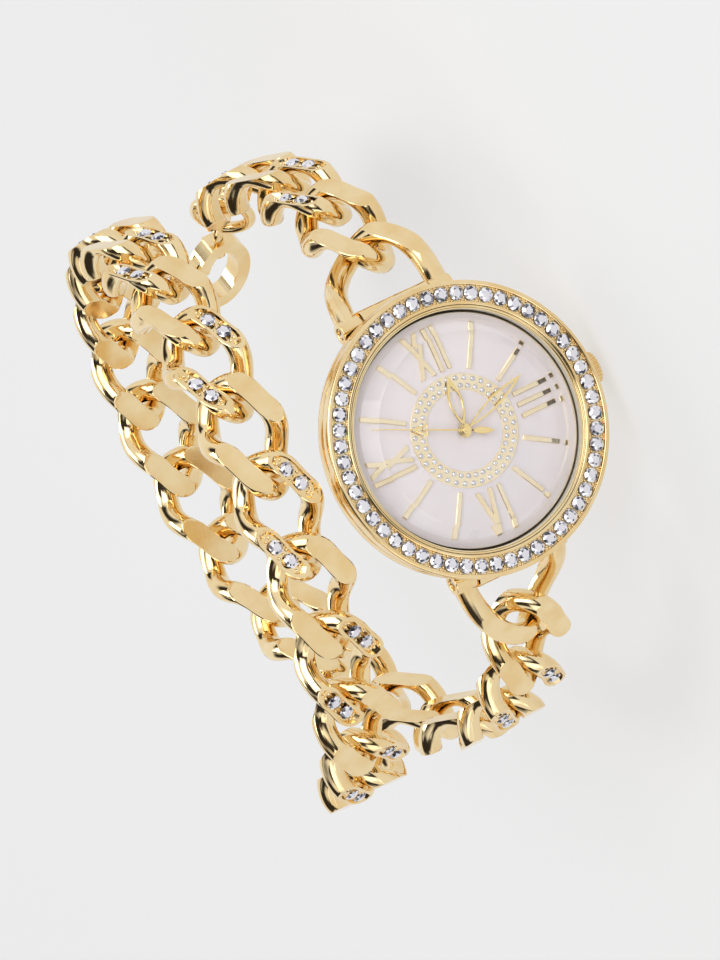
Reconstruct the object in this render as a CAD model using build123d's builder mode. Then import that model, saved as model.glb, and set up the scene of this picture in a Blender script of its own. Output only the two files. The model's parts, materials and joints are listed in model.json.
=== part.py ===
"""Women's bracelet watch: a round stone-set case on a curb chain that wraps the wrist twice.

Frame: Z runs along the wrist, the origin is on the wrist axis level with the middle of the dial,
the dial faces -Y, twelve o'clock points to +X and the crown at three o'clock to -Z.
A height is a distance from the wrist axis towards the dial. Lengths are in millimetres.
"""

from build123d import *
from math import asin, copysign, cos, degrees, hypot, pi, radians, sin, sqrt, tanh
import os

# wrist and running room
wrist_radius = 35.5
running_gap = 0.25
pin_gap = 0.05
overrun = 5.0
closing_rounds = 6
nudge_angle = 0.01

# curb chain
link_wire = 3.0
link_width = 11.8
link_pitch = 11.0
link_reach = 7.25
link_height = 4.6
link_twist = 44.0
twist_rate_share = 2.8
oval_power_share = 2.4
station_share = 0.5
first_hinge_angle = 40.8
long_side_end_angle = 460.0
short_side_end_angle = 115.0
recess_depth = 0.6
recess_length = 7.0
recess_width = 2.05
recess_along = 4.15
recess_across = 2.8
recess_turn = 25.0
link_stone_diameter = 1.9
link_stone_spacing = 2.6
link_stone_height = 0.85

# route of the chain over the wrist
lower_wrap_height = -2.5
wrap_gap = 0.75
upper_wrap_bow = 7.9
ramp_start_angle = 60.0
ramp_end_angle = 225.0

# end links and spring bars
end_link_width = 16.5
end_link_height = 4.8
end_link_overreach = 2.0
eye_radius = 1.7
bar_radius = 0.75
bar_inset = 1.15
bar_rise = 1.2
lug_side_gap = 0.25

# case
case_rim_radius = 18.55
case_bulge = 0.05
case_rise = 0.4
case_bulge_share = 0.55
bezel_seat_width = 2.55
neck_wall = 1.1
neck_rise = 0.8
snap_step = 0.4
back_edge_width = 0.6
back_thickness = 1.0
back_rim_wall = 0.6
back_rim_rise = 0.6
seal_thickness = 0.2

# bezel, its stones and the lens
bezel_overhang = 0.45
bezel_rise = 2.45
bezel_groove_rise = 0.45
outer_rim_width = 0.5
channel_width = 2.3
channel_depth = 0.95
inner_rim_width = 0.7
edge_round = 0.18
bezel_stone_diameter = 1.7
bezel_stone_gap = 0.3
bezel_stone_height = 1.0
girdle_share = 0.62
table_share = 0.58
culet_share = 0.16
lens_edge_gap = 0.15
lens_edge_height = 1.1
lens_height = 2.2
lens_bevel_width = 2.75
lens_clearance = 0.18

# dial and its applied pieces
dial_side_gap = 0.2
dial_thickness = 0.4
dial_clearance = 0.54
marker_height = 0.25
marker_width = 0.62
marker_gap = 0.6
marker_inset = 1.8
marker_spacing = 1.35
band_outer_radius = 7.3
band_width = 2.1
band_height = 0.12
bead_gap = 0.52
bead_radius = 0.24
bead_height = 0.22
bead_inset = 0.55

# hands, shown at eleven minutes and 49 seconds past twelve
hand_thickness = 0.12
minute_angle = 70.9
second_angle = 294.0
hour_hand_inset = 0.1
minute_hand_inset = 2.4
second_hand_inset = 1.0
second_tail_length = 3.8
arrow_start = 5.2
arrow_end = 7.4
hour_leaf_width = 1.9
minute_leaf_width = 1.5
second_leaf_width = 0.9
leaf_wall = 0.32
second_rod_width = 0.22
hand_hub_radius = 0.85
hand_clearance = 0.15
hand_step = 0.13
second_arbor_radius = 0.16

# motion work
gear_module = 0.2
cannon_teeth = 10
minute_wheel_teeth = 30
minute_pinion_teeth = 8
hour_wheel_teeth = 32
addendum_share = 0.7
dedendum_share = 1.05
tooth_root_share = 0.62
tooth_tip_share = 0.24
wheel_thickness = 0.25
motion_floor_gap = 0.2
cannon_pipe_radius = 0.42
hour_pipe_radius = 0.7
stud_radius = 0.28
fine_gap = 0.06

# movement
plate_radius = 10.4
plate_thickness = 0.8
holder_clearance = 0.4
holder_bore_gap = 0.1
bridge_thickness = 0.35
bridge_clearance = 0.35
bridge_inset = 0.8
pillar_radius = 0.8
pillar_inset = 1.4
pillar_angles = (100, 180, 260)
battery_diameter = 6.8
battery_thickness = 1.2
battery_inset = 1.6
coil_radius = 0.4
coil_clearance = 0.1
coil_bobbin_length = 6.5
coil_offset = 6.3
board_length = 6.6
board_width = 4.2
board_thickness = 0.25
board_offset = 5.0

# crown and stem
crown_radius = 2.1
crown_length = 2.0
crown_rise = 0.5
crown_flutes = 24
flute_radius = 0.16
crown_stem_radius = 0.45
stem_end_gap = 0.5
stem_socket_depth = 1.1
stem_channel_width = 1.6

# clasp
ring_wire = 1.6
ring_mean_radius = 3.6
ring_tilt = 40.0
ring_link_gap = 0.15
swivel_wire = 1.1
swivel_mean_radius = 1.7
shank_radius = 0.55
shank_head_radius = 0.95
shank_head_length = 0.6
claw_thickness = 2.6
claw_half_length = 6.2
claw_half_width = 4.2
claw_wall = 1.9
claw_tail_width = 3.6
claw_tail_start = 2.6
lever_thickness = 1.4
lever_boss_radius = 1.15
lever_pin_radius = 0.4
lever_thumb_length = 1.9
lever_thumb_radius = 0.8
gate_start_share = 0.25
gate_end_share = 0.62

# radii of the head's pieces, from the case's rim
case_bulge_radius = case_rim_radius + case_bulge
neck_radius = case_rim_radius - bezel_seat_width
case_bore_radius = neck_radius - neck_wall
snap_radius = case_bore_radius + snap_step
case_back_radius = snap_radius + back_edge_width
bezel_radius = case_rim_radius + bezel_overhang
channel_outer_radius = bezel_radius - outer_rim_width
channel_inner_radius = channel_outer_radius - channel_width
stone_circle = (channel_inner_radius + channel_outer_radius) / 2
bezel_opening_radius = channel_inner_radius - inner_rim_width
lens_radius = bezel_opening_radius - lens_edge_gap
lens_top_radius = lens_radius - lens_bevel_width
dial_radius = case_bore_radius - dial_side_gap
marker_outer_radius = dial_radius - marker_inset
marker_inner_radius = band_outer_radius + marker_gap
band_inner_radius = band_outer_radius - band_width
inner_bead_circle = band_inner_radius + bead_inset
bridge_radius = plate_radius - bridge_inset
battery_offset = plate_radius - battery_inset - battery_diameter / 2
stem_end = plate_radius + stem_end_gap
bar_out = case_rim_radius - bar_inset

# lengths and counts that follow from them
hour_hand_length = band_outer_radius - hour_hand_inset
minute_hand_length = marker_outer_radius - minute_hand_inset
second_hand_length = marker_outer_radius - second_hand_inset
bezel_stone_count = int(2 * pi * stone_circle / (bezel_stone_diameter + bezel_stone_gap))
bead_count = int(2 * pi * inner_bead_circle / (2 * bead_radius + bead_gap))

# places of the chain
seat_radius = wrist_radius + link_height / 2
hinge_radius = hypot(seat_radius, link_pitch / 2)
upper_wrap_height = bezel_radius + link_width / 2 + wrap_gap

# heights of the head's pieces, stacked from the wrist outwards
bar_height = wrist_radius + bar_rise
case_bottom = wrist_radius + case_rise
back_inner = wrist_radius + back_thickness
seal_top = back_inner + seal_thickness
holder_floor_height = back_inner + holder_clearance
bridge_floor_height = back_inner + bridge_clearance
coil_height = bridge_floor_height + bridge_thickness + coil_radius
plate_height = coil_height + coil_radius + coil_clearance
plate_top = plate_height + plate_thickness
lower_wheel = plate_top + motion_floor_gap
upper_wheel = lower_wheel + wheel_thickness + fine_gap
dial_floor_height = upper_wheel + wheel_thickness + dial_clearance
dial_top = dial_floor_height + dial_thickness
band_top = dial_top + band_height
hour_hand_height = dial_top + marker_height + hand_clearance
minute_hand_height = hour_hand_height + hand_thickness + hand_step
second_hand_height = minute_hand_height + hand_thickness + hand_step
neck_top = second_hand_height + hand_thickness + lens_clearance
case_rim_height = neck_top - neck_rise
case_bulge_height = case_bottom + case_bulge_share * (case_rim_height - case_bottom)
bezel_top = case_rim_height + bezel_rise
channel_floor = bezel_top - channel_depth
crown_height = plate_height + crown_rise
crown_start = case_rim_radius + running_gap
os.makedirs("parts", exist_ok=True)


def save(part, name):
    """Label one finished piece and write it under its own name."""
    part.label = name
    export_step(part, f"parts/{name}.step")


def head_plane(height, turn=0.0):
    """A plane facing out of the dial at a height, turned clockwise from twelve o'clock."""
    twelve = (cos(radians(turn)), 0, -sin(radians(turn)))
    return Plane(origin=(0, -height, 0), x_dir=twelve, z_dir=(0, -1, 0))


def half_section(points):
    """Closed outline through radius and height pairs, to be revolved about the dial axis."""
    with BuildSketch(Plane.XY) as section:
        with BuildLine():
            Polyline(*[(radius, -height) for radius, height in points], close=True)
        make_face()
    return section.sketch


# route of the chain

def wrap_height(angle):
    """Place along the wrist of the long side, by its angle from the case."""
    def bowed(at):
        return upper_wrap_height - upper_wrap_bow * (1 - cos(radians(at - 360)))

    slope = -upper_wrap_bow * sin(radians(ramp_end_angle - 360)) * radians(1)
    foot = bowed(ramp_end_angle) - slope * (ramp_end_angle - ramp_start_angle)
    blend_angle = 2 * (foot - lower_wrap_height) / slope
    if angle >= ramp_end_angle:
        return bowed(angle)
    if angle >= ramp_start_angle:
        return foot + slope * (angle - ramp_start_angle)
    into = max(0.0, angle - ramp_start_angle + blend_angle)
    return lower_wrap_height + slope * into**2 / (2 * blend_angle)


def short_height(angle):
    """Place along the wrist of the short side, which keeps level."""
    return lower_wrap_height


def hinge_point(angle, side, height_at):
    """Hinge between two links at an angle from the case, on the +X or the -X side."""
    return Vector(
        side * hinge_radius * sin(radians(angle)),
        -hinge_radius * cos(radians(angle)),
        height_at(angle),
    )


def next_angle(angle, span, height_at):
    """Angle of the hinge that lies one span further along the chain."""
    following = angle
    for _ in range(closing_rounds):
        climb = height_at(following) - height_at(angle)
        following = angle + degrees(2 * asin(sqrt(span**2 - climb**2) / (2 * hinge_radius)))
    return following


def chain_angles(end_angle, height_at):
    """Angles of the hinges at both ends of each link, as far as whole links reach."""
    angles = [first_hinge_angle]
    following = next_angle(first_hinge_angle, link_pitch, height_at)
    while following < end_angle:
        angles.append(following)
        following = next_angle(following, link_pitch, height_at)
    return angles


def chord_frame(start, end):
    """Frame between two points: X away from the case, Z away from the wrist."""
    along = end - start
    outward = Vector(start.X + end.X, start.Y + end.Y, 0)
    level = Vector(along.X, along.Y, 0)
    outward = outward - level * (outward.dot(level) / level.dot(level))
    return Plane(origin=(start + end) * 0.5, x_dir=along.normalized(), z_dir=outward.normalized())


# wire forms made of tangent arcs

def biarc_joint(start, start_way, end, end_way):
    """Point where two arcs that leave and arrive in the given ways meet smoothly."""
    chord = end - start
    ways = start_way + end_way
    bend = 2 * (1 - start_way.dot(end_way))
    run = chord.dot(ways)
    reach = (sqrt(run**2 + bend * chord.dot(chord)) - run) / bend
    return (start + end + (start_way - end_way) * reach) * 0.5


def arc_edges(points, ways):
    """Pairs of tangent arcs through the points in the given ways."""
    edges = []
    for start, start_way, end, end_way in zip(points, ways, points[1:], ways[1:]):
        middle = biarc_joint(start, start_way, end, end_way)
        first = Edge.make_tangent_arc(start, start_way, middle)
        edges += [first, Edge.make_tangent_arc(middle, first % 1, end)]
    return edges


def sweep_wire(edges, diameter):
    """Carry a round section along each edge in turn."""
    for edge in edges:
        with BuildSketch(Plane(edge @ 0, z_dir=edge % 0)) as section:
            Circle(diameter / 2)
        sweep(section.sketch, path=edge)


def sampled(curve, stations):
    """Points of a curve and its directions there, by a small central difference."""
    nudge = radians(nudge_angle)
    points = [curve(s) for s in stations]
    ways = [(curve(s + nudge) - curve(s - nudge)).normalized() for s in stations]
    return points, ways


def link_curve(s):
    """Middle line of a curb link: a square-shouldered oval, twisted about the chain."""
    along = link_reach * copysign(abs(cos(s)) ** (2 / oval_power_share), cos(s))
    half_width = (link_width - link_wire) / 2
    across = half_width * copysign(abs(sin(s)) ** (2 / oval_power_share), sin(s))
    turn = radians(link_twist) * tanh(twist_rate_share * along / link_reach) / tanh(twist_rate_share)
    return Vector(along, across * cos(turn), -across * sin(turn))


def link_stations():
    """Parameters round the whole link, the same in each quarter."""
    stations = []
    for quarter in range(4):
        between = station_share if quarter % 2 == 0 else pi / 2 - station_share
        stations += [quarter * pi / 2, quarter * pi / 2 + between]
    return stations + [2 * pi]


def cut_flats(height, reach):
    """Cut the top and the bottom of a link flat."""
    for way in (1, -1):
        with BuildSketch(Plane.XY.offset(way * height / 2)) as waste:
            Rectangle(2 * reach, 2 * reach)
        extrude(waste.sketch, amount=way * overrun, mode=Mode.SUBTRACT)


def recess_planes():
    """Planes of the two stone recesses in the outer flats of a link."""
    along = (cos(radians(recess_turn)), sin(radians(recess_turn)), 0)
    return [
        Plane(
            origin=(way * recess_along, -way * recess_across, link_height / 2),
            x_dir=along,
            z_dir=(0, 0, 1),
        )
        for way in (1, -1)
    ]


def build_link(with_recess):
    """One curb link in its own frame, plain or with its two recesses."""
    with BuildPart() as link:
        points, ways = sampled(link_curve, link_stations())
        sweep_wire(arc_edges(points, ways), link_wire)
        cut_flats(link_height, link_reach + link_wire)
        if with_recess:
            for plane in recess_planes():
                with BuildSketch(plane):
                    SlotOverall(recess_length, recess_width)
                extrude(amount=-recess_depth, mode=Mode.SUBTRACT)
    return link.part


def brilliant(diameter, height):
    """A round stone standing on its point at the middle of the plane in use."""
    radius = diameter / 2
    girdle = height * girdle_share
    with Locations((0, 0, girdle / 2)):
        Cone(radius * culet_share, radius, girdle)
    with Locations((0, 0, (girdle + height) / 2)):
        Cone(radius, radius * table_share, height - girdle)


def build_link_stones():
    """The four stones of a stone-set link, each standing on its recess floor."""
    with BuildPart() as stones:
        for plane in recess_planes():
            for way in (1, -1):
                floor = plane.offset(-recess_depth)
                spot = floor.origin + floor.x_dir * (way * link_stone_spacing / 2)
                with Locations(Plane(origin=spot, x_dir=floor.x_dir, z_dir=floor.z_dir)):
                    brilliant(link_stone_diameter, link_stone_height)
    return stones.part


plain_link = build_link(False)
stone_link = build_link(True)
link_stones = build_link_stones()


def save_chain(name, end_angle, side, height_at):
    """Place and write the links of one side, every second one with stones."""
    angles = chain_angles(end_angle, height_at)
    for index in range(len(angles) - 1):
        ends = [hinge_point(angle, side, height_at) for angle in angles[index:index + 2]]
        place = chord_frame(*ends).location
        if index % 2:
            save(Compound(children=[place * stone_link, *(place * s for s in link_stones.solids())]),
                 f"{name}_link_{index + 1:02d}_stones")
        else:
            save(place * plain_link, f"{name}_link_{index + 1:02d}")
    return angles


save_chain("long_side", long_side_end_angle, -1, wrap_height)
short_angles = save_chain("short_side", short_side_end_angle, 1, short_height)


# end links, which swing on the spring bars

def end_link_curve(s, reach, bar_way):
    """Middle line of a horseshoe: legs that start on the bar, a closing bend and a growing twist."""
    rise = copysign(abs(sin(s)) ** (2 / oval_power_share), sin(s))
    swing = copysign(abs(cos(s)) ** (2 / oval_power_share), cos(s))
    leg = bar_way * (swing * (end_link_width - link_wire) / 2)
    along = reach * rise + leg.X * (1 - rise)
    turn = radians(link_twist) * rise**2
    return Vector(along, leg.Y * cos(turn), -leg.Y * sin(turn))


def save_end_link(name, side, height_at):
    """Horseshoe from the spring bar of one side to the first link."""
    bar = Vector(side * bar_out, -bar_height, 0)
    first = hinge_point(first_hinge_angle, side, height_at)
    frame = chord_frame(bar, first)
    frame = Plane(origin=bar, x_dir=frame.x_dir, z_dir=frame.z_dir)
    reach = (first - bar).length + end_link_overreach
    bar_way = Vector(frame.x_dir.Z, frame.y_dir.Z, 0)
    leg_across = (end_link_width - link_wire) / 2
    leg_stations = [0, station_share, 2 * station_share]
    stations = leg_stations + [pi / 2] + [pi - s for s in reversed(leg_stations)]
    points, ways = sampled(lambda s: end_link_curve(s, reach, bar_way), stations)
    with BuildPart() as horseshoe:
        sweep_wire(arc_edges(points, ways), link_wire)
        cut_flats(end_link_height, reach + link_wire)
    with BuildPart() as link:
        add(frame.location * horseshoe.part)
        for way in (1, -1):
            eye_floor = way * (leg_across - link_wire / 2)
            with BuildSketch(Plane(origin=(bar.X, bar.Y, eye_floor))):
                Circle(eye_radius)
            extrude(amount=way * link_wire)
        with BuildSketch(Plane(origin=(bar.X, bar.Y, 0))):
            Circle(bar_radius + pin_gap)
        extrude(amount=end_link_width, both=True, mode=Mode.SUBTRACT)
        with BuildSketch(Plane(origin=(bar.X, bar.Y, 0))):
            Circle(eye_radius + running_gap)
        extrude(amount=leg_across - link_wire / 2, both=True, mode=Mode.SUBTRACT)
    save(link.part, name)


save_end_link("end_link_twelve", 1, short_height)
save_end_link("end_link_six", -1, wrap_height)

with BuildPart() as spring_bars:
    for side in (1, -1):
        with BuildSketch(Plane(origin=(side * bar_out, -bar_height, 0))):
            Circle(bar_radius)
        extrude(amount=end_link_width / 2 - running_gap, both=True)
save(spring_bars.part, "spring_bars")


# case

lug_half_width = end_link_width / 2 - link_wire - lug_side_gap

with BuildPart() as case_middle:
    with BuildSketch(Plane.XY):
        with BuildLine():
            Line((case_bore_radius, -seal_top), (snap_radius, -seal_top))
            Line((snap_radius, -seal_top), (snap_radius, -case_bottom))
            Line((snap_radius, -case_bottom), (case_back_radius, -case_bottom))
            ThreePointArc(
                (case_back_radius, -case_bottom),
                (case_bulge_radius, -case_bulge_height),
                (case_rim_radius, -case_rim_height),
            )
            Line((case_rim_radius, -case_rim_height), (neck_radius, -case_rim_height))
            Line((neck_radius, -case_rim_height), (neck_radius, -neck_top))
            Line((neck_radius, -neck_top), (case_bore_radius, -neck_top))
            Line((case_bore_radius, -neck_top), (case_bore_radius, -seal_top))
        make_face()
    revolve(axis=Axis.Y)
    # on each side, room for the eyes of an end link, then the lug between them
    for side in (1, -1):
        with BuildSketch(Plane(origin=(side * bar_out, -bar_height, 0))):
            Circle(eye_radius + running_gap)
        extrude(amount=end_link_width / 2 + running_gap, both=True, mode=Mode.SUBTRACT)
        with BuildSketch(Plane.XY):
            with Locations((side * bar_out, -bar_height)):
                Circle(eye_radius)
            with Locations((side * (bar_out + snap_radius + case_rise) / 2, -bar_height)):
                Rectangle(bar_out - snap_radius - case_rise, 2 * eye_radius)
        extrude(amount=lug_half_width, both=True)
    with BuildSketch(head_plane(wrist_radius)):
        Circle(snap_radius)
    extrude(amount=seal_top - wrist_radius, mode=Mode.SUBTRACT)
    for side in (1, -1):
        with BuildSketch(Plane(origin=(side * bar_out, -bar_height, 0))):
            Circle(bar_radius + pin_gap)
        extrude(amount=end_link_width, both=True, mode=Mode.SUBTRACT)
    with BuildSketch(Plane(origin=(0, -crown_height, 0))):
        Circle(crown_stem_radius + pin_gap)
    extrude(amount=-bezel_radius, mode=Mode.SUBTRACT)
save(case_middle.part, "case_middle")

rim_outer = case_bore_radius - pin_gap
with BuildPart() as case_back:
    revolve(half_section([
        (0, wrist_radius),
        (snap_radius - pin_gap, wrist_radius),
        (snap_radius - pin_gap, back_inner),
        (rim_outer, back_inner),
        (rim_outer, seal_top + back_rim_rise),
        (rim_outer - back_rim_wall, seal_top + back_rim_rise),
        (rim_outer - back_rim_wall, back_inner),
        (0, back_inner),
    ]), axis=Axis.Y)
save(case_back.part, "case_back")

# bezel, lens and seals

with BuildPart() as bezel:
    revolve(half_section([
        (neck_radius + pin_gap, case_rim_height),
        (case_rim_radius, case_rim_height),
        (case_rim_radius, case_rim_height + bezel_groove_rise),
        (bezel_radius, case_rim_height + bezel_groove_rise + edge_round),
        (bezel_radius, bezel_top - edge_round),
        (bezel_radius - edge_round, bezel_top),
        (channel_outer_radius, bezel_top),
        (channel_outer_radius, channel_floor),
        (channel_inner_radius, channel_floor),
        (channel_inner_radius, bezel_top),
        (bezel_opening_radius + edge_round, bezel_top),
        (bezel_opening_radius, bezel_top - edge_round),
        (bezel_opening_radius, neck_top),
        (neck_radius + pin_gap, neck_top),
    ]), axis=Axis.Y)
save(bezel.part, "bezel")

with BuildPart() as bezel_stones:
    with Locations(head_plane(channel_floor)):
        with PolarLocations(stone_circle, bezel_stone_count):
            brilliant(bezel_stone_diameter, bezel_stone_height)
save(bezel_stones.part, "bezel_stones")

with BuildPart() as lens:
    revolve(half_section([
        (0, neck_top),
        (lens_radius, neck_top),
        (lens_radius, neck_top + lens_edge_height),
        (lens_top_radius, neck_top + lens_height),
        (0, neck_top + lens_height),
    ]), axis=Axis.Y)
save(lens.part, "lens")

with BuildPart() as lens_seal:
    revolve(half_section([
        (lens_radius, neck_top),
        (bezel_opening_radius, neck_top),
        (bezel_opening_radius, neck_top + lens_edge_height),
        (lens_radius, neck_top + lens_edge_height),
    ]), axis=Axis.Y)
with BuildPart() as back_seal:
    revolve(half_section([
        (case_bore_radius + pin_gap, back_inner),
        (snap_radius - pin_gap, back_inner),
        (snap_radius - pin_gap, seal_top),
        (case_bore_radius + pin_gap, seal_top),
    ]), axis=Axis.Y)
save(Compound(children=[lens_seal.part, back_seal.part]), "seals")

# dial, its markers and its beaded band

with BuildPart() as dial:
    with BuildSketch(head_plane(dial_floor_height)):
        Circle(dial_radius)
        Circle(hour_pipe_radius + 2 * fine_gap, mode=Mode.SUBTRACT)
    extrude(amount=dial_thickness)
save(dial.part, "dial")

# strokes of each marker: across at the inner end and across at the outer end, in spacings
numeral_shares = {
    0: ((1.75, 0.45), (0.45, 1.75), (-0.4, -0.4), (-1.2, -1.2)),
    3: ((1.1, 1.1), (0, 0), (-1.1, -1.1)),
    6: ((-1.45, -0.75), (-0.05, -0.75), (0.9, 0.9)),
    9: ((1.1, 1.1), (0.4, -0.9), (-0.9, 0.4)),
}


def stroke(inner_across, outer_across):
    """One straight stroke of a marker, from the inner to the outer radius."""
    half = marker_width / 2
    inner = inner_across * marker_spacing
    outer = outer_across * marker_spacing
    Polygon(
        (marker_inner_radius, inner - half),
        (marker_outer_radius, outer - half),
        (marker_outer_radius, outer + half),
        (marker_inner_radius, inner + half),
        align=None,
    )


with BuildPart() as dial_markers:
    for hour in range(12):
        with BuildSketch(head_plane(dial_top, turn=30 * hour)):
            for inner_across, outer_across in numeral_shares.get(hour, ((0, 0),)):
                stroke(inner_across, outer_across)
        extrude(amount=marker_height)
save(dial_markers.part, "dial_markers")

with BuildPart() as dial_band:
    with BuildSketch(head_plane(dial_top)):
        Circle(band_outer_radius)
        Circle(band_inner_radius, mode=Mode.SUBTRACT)
    extrude(amount=band_height)
save(dial_band.part, "dial_band")

with BuildPart() as dial_beads:
    with Locations(head_plane(band_top + bead_height / 2)):
        for circle in (inner_bead_circle, band_outer_radius - bead_inset):
            with PolarLocations(circle, bead_count):
                Cone(bead_radius, bead_radius / 2, bead_height)
save(dial_beads.part, "dial_beads")


# hands

def leaf(start, end, width, mode=Mode.ADD):
    """A leaf between two places along a hand, its sides two arcs."""
    middle = (start + end) / 2
    with BuildLine() as sides:
        ThreePointArc((start, 0), (middle, width / 2), (end, 0))
        ThreePointArc((end, 0), (middle, -width / 2), (start, 0))
    make_face(sides.edges(), mode=mode)


def open_leaf(start, end, width):
    """A leaf with a leaf-shaped window."""
    leaf(start, end, width)
    wall_along = leaf_wall * (end - start) / width
    leaf(start + wall_along, end - wall_along, width - 2 * leaf_wall, Mode.SUBTRACT)


with BuildPart() as hour_hand:
    with BuildSketch(head_plane(hour_hand_height, minute_angle / 12)):
        open_leaf(hand_hub_radius - leaf_wall, hour_hand_length, hour_leaf_width)
        Circle(hand_hub_radius + leaf_wall)
        Circle(hour_pipe_radius, mode=Mode.SUBTRACT)
    extrude(amount=hand_thickness)
save(hour_hand.part, "hour_hand")

with BuildPart() as minute_hand:
    with BuildSketch(head_plane(minute_hand_height, minute_angle)):
        open_leaf(hand_hub_radius - leaf_wall, minute_hand_length, minute_leaf_width)
        Circle(hand_hub_radius)
        Circle(cannon_pipe_radius, mode=Mode.SUBTRACT)
    extrude(amount=hand_thickness)
save(minute_hand.part, "minute_hand")

with BuildPart() as second_hand:
    with BuildSketch(head_plane(second_hand_height, second_angle)):
        with Locations(((second_hand_length - second_tail_length) / 2, 0)):
            Rectangle(second_hand_length + second_tail_length, second_rod_width)
        leaf(-second_tail_length, -hand_hub_radius, second_leaf_width)
        with BuildLine():
            Polyline(
                (arrow_start, second_leaf_width),
                (arrow_end, 0),
                (arrow_start, -second_leaf_width),
                close=True,
            )
        make_face()
        with BuildLine():
            Polyline(
                (arrow_start + leaf_wall, second_leaf_width - 2 * leaf_wall),
                (arrow_end - 2 * leaf_wall, 0),
                (arrow_start + leaf_wall, 2 * leaf_wall - second_leaf_width),
                close=True,
            )
        make_face(mode=Mode.SUBTRACT)
        Circle(hand_hub_radius - leaf_wall)
    extrude(amount=hand_thickness)
    with BuildSketch(head_plane(second_hand_height)):
        Circle(second_arbor_radius)
    extrude(amount=plate_height - second_hand_height)
save(second_hand.part, "second_hand")


# motion work under the dial

def gear_face(teeth, turn=0.0):
    """Toothed disc with plain tapered teeth, the first one turned by an angle."""
    pitch_radius = teeth * gear_module / 2
    root = pitch_radius - dedendum_share * gear_module
    tip = pitch_radius + addendum_share * gear_module
    half_pitch = pi / teeth
    corners = []
    for tooth in range(teeth):
        middle = radians(turn) + 2 * pi * tooth / teeth
        for radius, share in (
            (root, -tooth_root_share),
            (tip, -tooth_tip_share),
            (tip, tooth_tip_share),
            (root, tooth_root_share),
        ):
            angle = middle + share * half_pitch
            corners.append((radius * cos(angle), radius * sin(angle)))
    with BuildLine() as outline:
        Polyline(*corners, close=True)
    make_face(outline.edges())


stud_distance = (cannon_teeth + minute_wheel_teeth) * gear_module / 2
stud_plane = Plane(origin=(-stud_distance, 0, 0), x_dir=(1, 0, 0), z_dir=(0, -1, 0))

with BuildPart() as cannon_pinion:
    with BuildSketch(head_plane(lower_wheel)):
        gear_face(cannon_teeth, turn=180 / cannon_teeth)
    extrude(amount=wheel_thickness)
    with BuildSketch(head_plane(plate_height)):
        Circle(cannon_pipe_radius)
    extrude(amount=minute_hand_height + hand_thickness - plate_height)
    with BuildSketch(head_plane(plate_height)):
        Circle(second_arbor_radius + fine_gap)
    extrude(amount=minute_hand_height - plate_height + overrun, mode=Mode.SUBTRACT)
save(cannon_pinion.part, "cannon_pinion")

with BuildPart() as minute_wheel:
    with BuildSketch(stud_plane.offset(lower_wheel)):
        gear_face(minute_wheel_teeth)
    extrude(amount=wheel_thickness)
    with BuildSketch(stud_plane.offset(lower_wheel)):
        gear_face(minute_pinion_teeth)
    extrude(amount=upper_wheel + wheel_thickness - lower_wheel)
    with BuildSketch(stud_plane.offset(lower_wheel)):
        Circle(stud_radius + fine_gap)
    extrude(amount=overrun, mode=Mode.SUBTRACT)
save(minute_wheel.part, "minute_wheel")

with BuildPart() as hour_wheel:
    with BuildSketch(head_plane(upper_wheel)):
        gear_face(hour_wheel_teeth, turn=180 + 180 / hour_wheel_teeth)
    extrude(amount=wheel_thickness)
    with BuildSketch(head_plane(upper_wheel)):
        Circle(hour_pipe_radius)
    extrude(amount=hour_hand_height + hand_thickness - upper_wheel)
    with BuildSketch(head_plane(upper_wheel)):
        Circle(cannon_pipe_radius + fine_gap)
    extrude(amount=overrun, mode=Mode.SUBTRACT)
save(hour_wheel.part, "hour_wheel")

# movement

with BuildPart() as main_plate:
    with BuildSketch(head_plane(plate_height)):
        Circle(plate_radius)
        Circle(cannon_pipe_radius + fine_gap, mode=Mode.SUBTRACT)
    extrude(amount=plate_thickness)
    with BuildSketch(stud_plane.offset(plate_top)):
        Circle(stud_radius)
    extrude(amount=upper_wheel + wheel_thickness - plate_top)
save(main_plate.part, "main_plate")

holder_bore_radius = plate_radius + holder_bore_gap
with BuildPart() as movement_holder:
    with BuildSketch(head_plane(holder_floor_height)):
        Circle(dial_radius)
        Circle(holder_bore_radius, mode=Mode.SUBTRACT)
    extrude(amount=dial_floor_height - holder_floor_height)
    with BuildSketch(head_plane(holder_floor_height)):
        Circle(case_bore_radius)
        Circle(rim_outer - back_rim_wall - running_gap, mode=Mode.SUBTRACT)
    extrude(amount=seal_top + back_rim_rise + running_gap - holder_floor_height, mode=Mode.SUBTRACT)
    with BuildSketch(Plane(origin=(0, -crown_height, 0))):
        Rectangle(stem_channel_width, stem_channel_width)
    extrude(amount=-case_bore_radius, mode=Mode.SUBTRACT)
save(movement_holder.part, "movement_holder")

pillar_circle = bridge_radius - pillar_inset
with BuildPart() as train_bridge:
    with BuildSketch(head_plane(bridge_floor_height)):
        Circle(bridge_radius)
        with Locations((battery_offset, 0)):
            Circle(battery_diameter / 2 + running_gap, mode=Mode.SUBTRACT)
        with Locations((battery_offset + battery_diameter, 0)):
            Rectangle(2 * battery_diameter, battery_diameter, mode=Mode.SUBTRACT)
    extrude(amount=bridge_thickness)
    with BuildSketch(head_plane(bridge_floor_height)):
        for turn in pillar_angles:
            with Locations((pillar_circle * cos(radians(turn)), pillar_circle * sin(radians(turn)))):
                Circle(pillar_radius)
    extrude(amount=plate_height - bridge_floor_height)
save(train_bridge.part, "train_bridge")

with BuildPart() as battery:
    with BuildSketch(head_plane(plate_height - battery_thickness)):
        with Locations((battery_offset, 0)):
            Circle(battery_diameter / 2)
    extrude(amount=battery_thickness)
save(battery.part, "battery")

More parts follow.
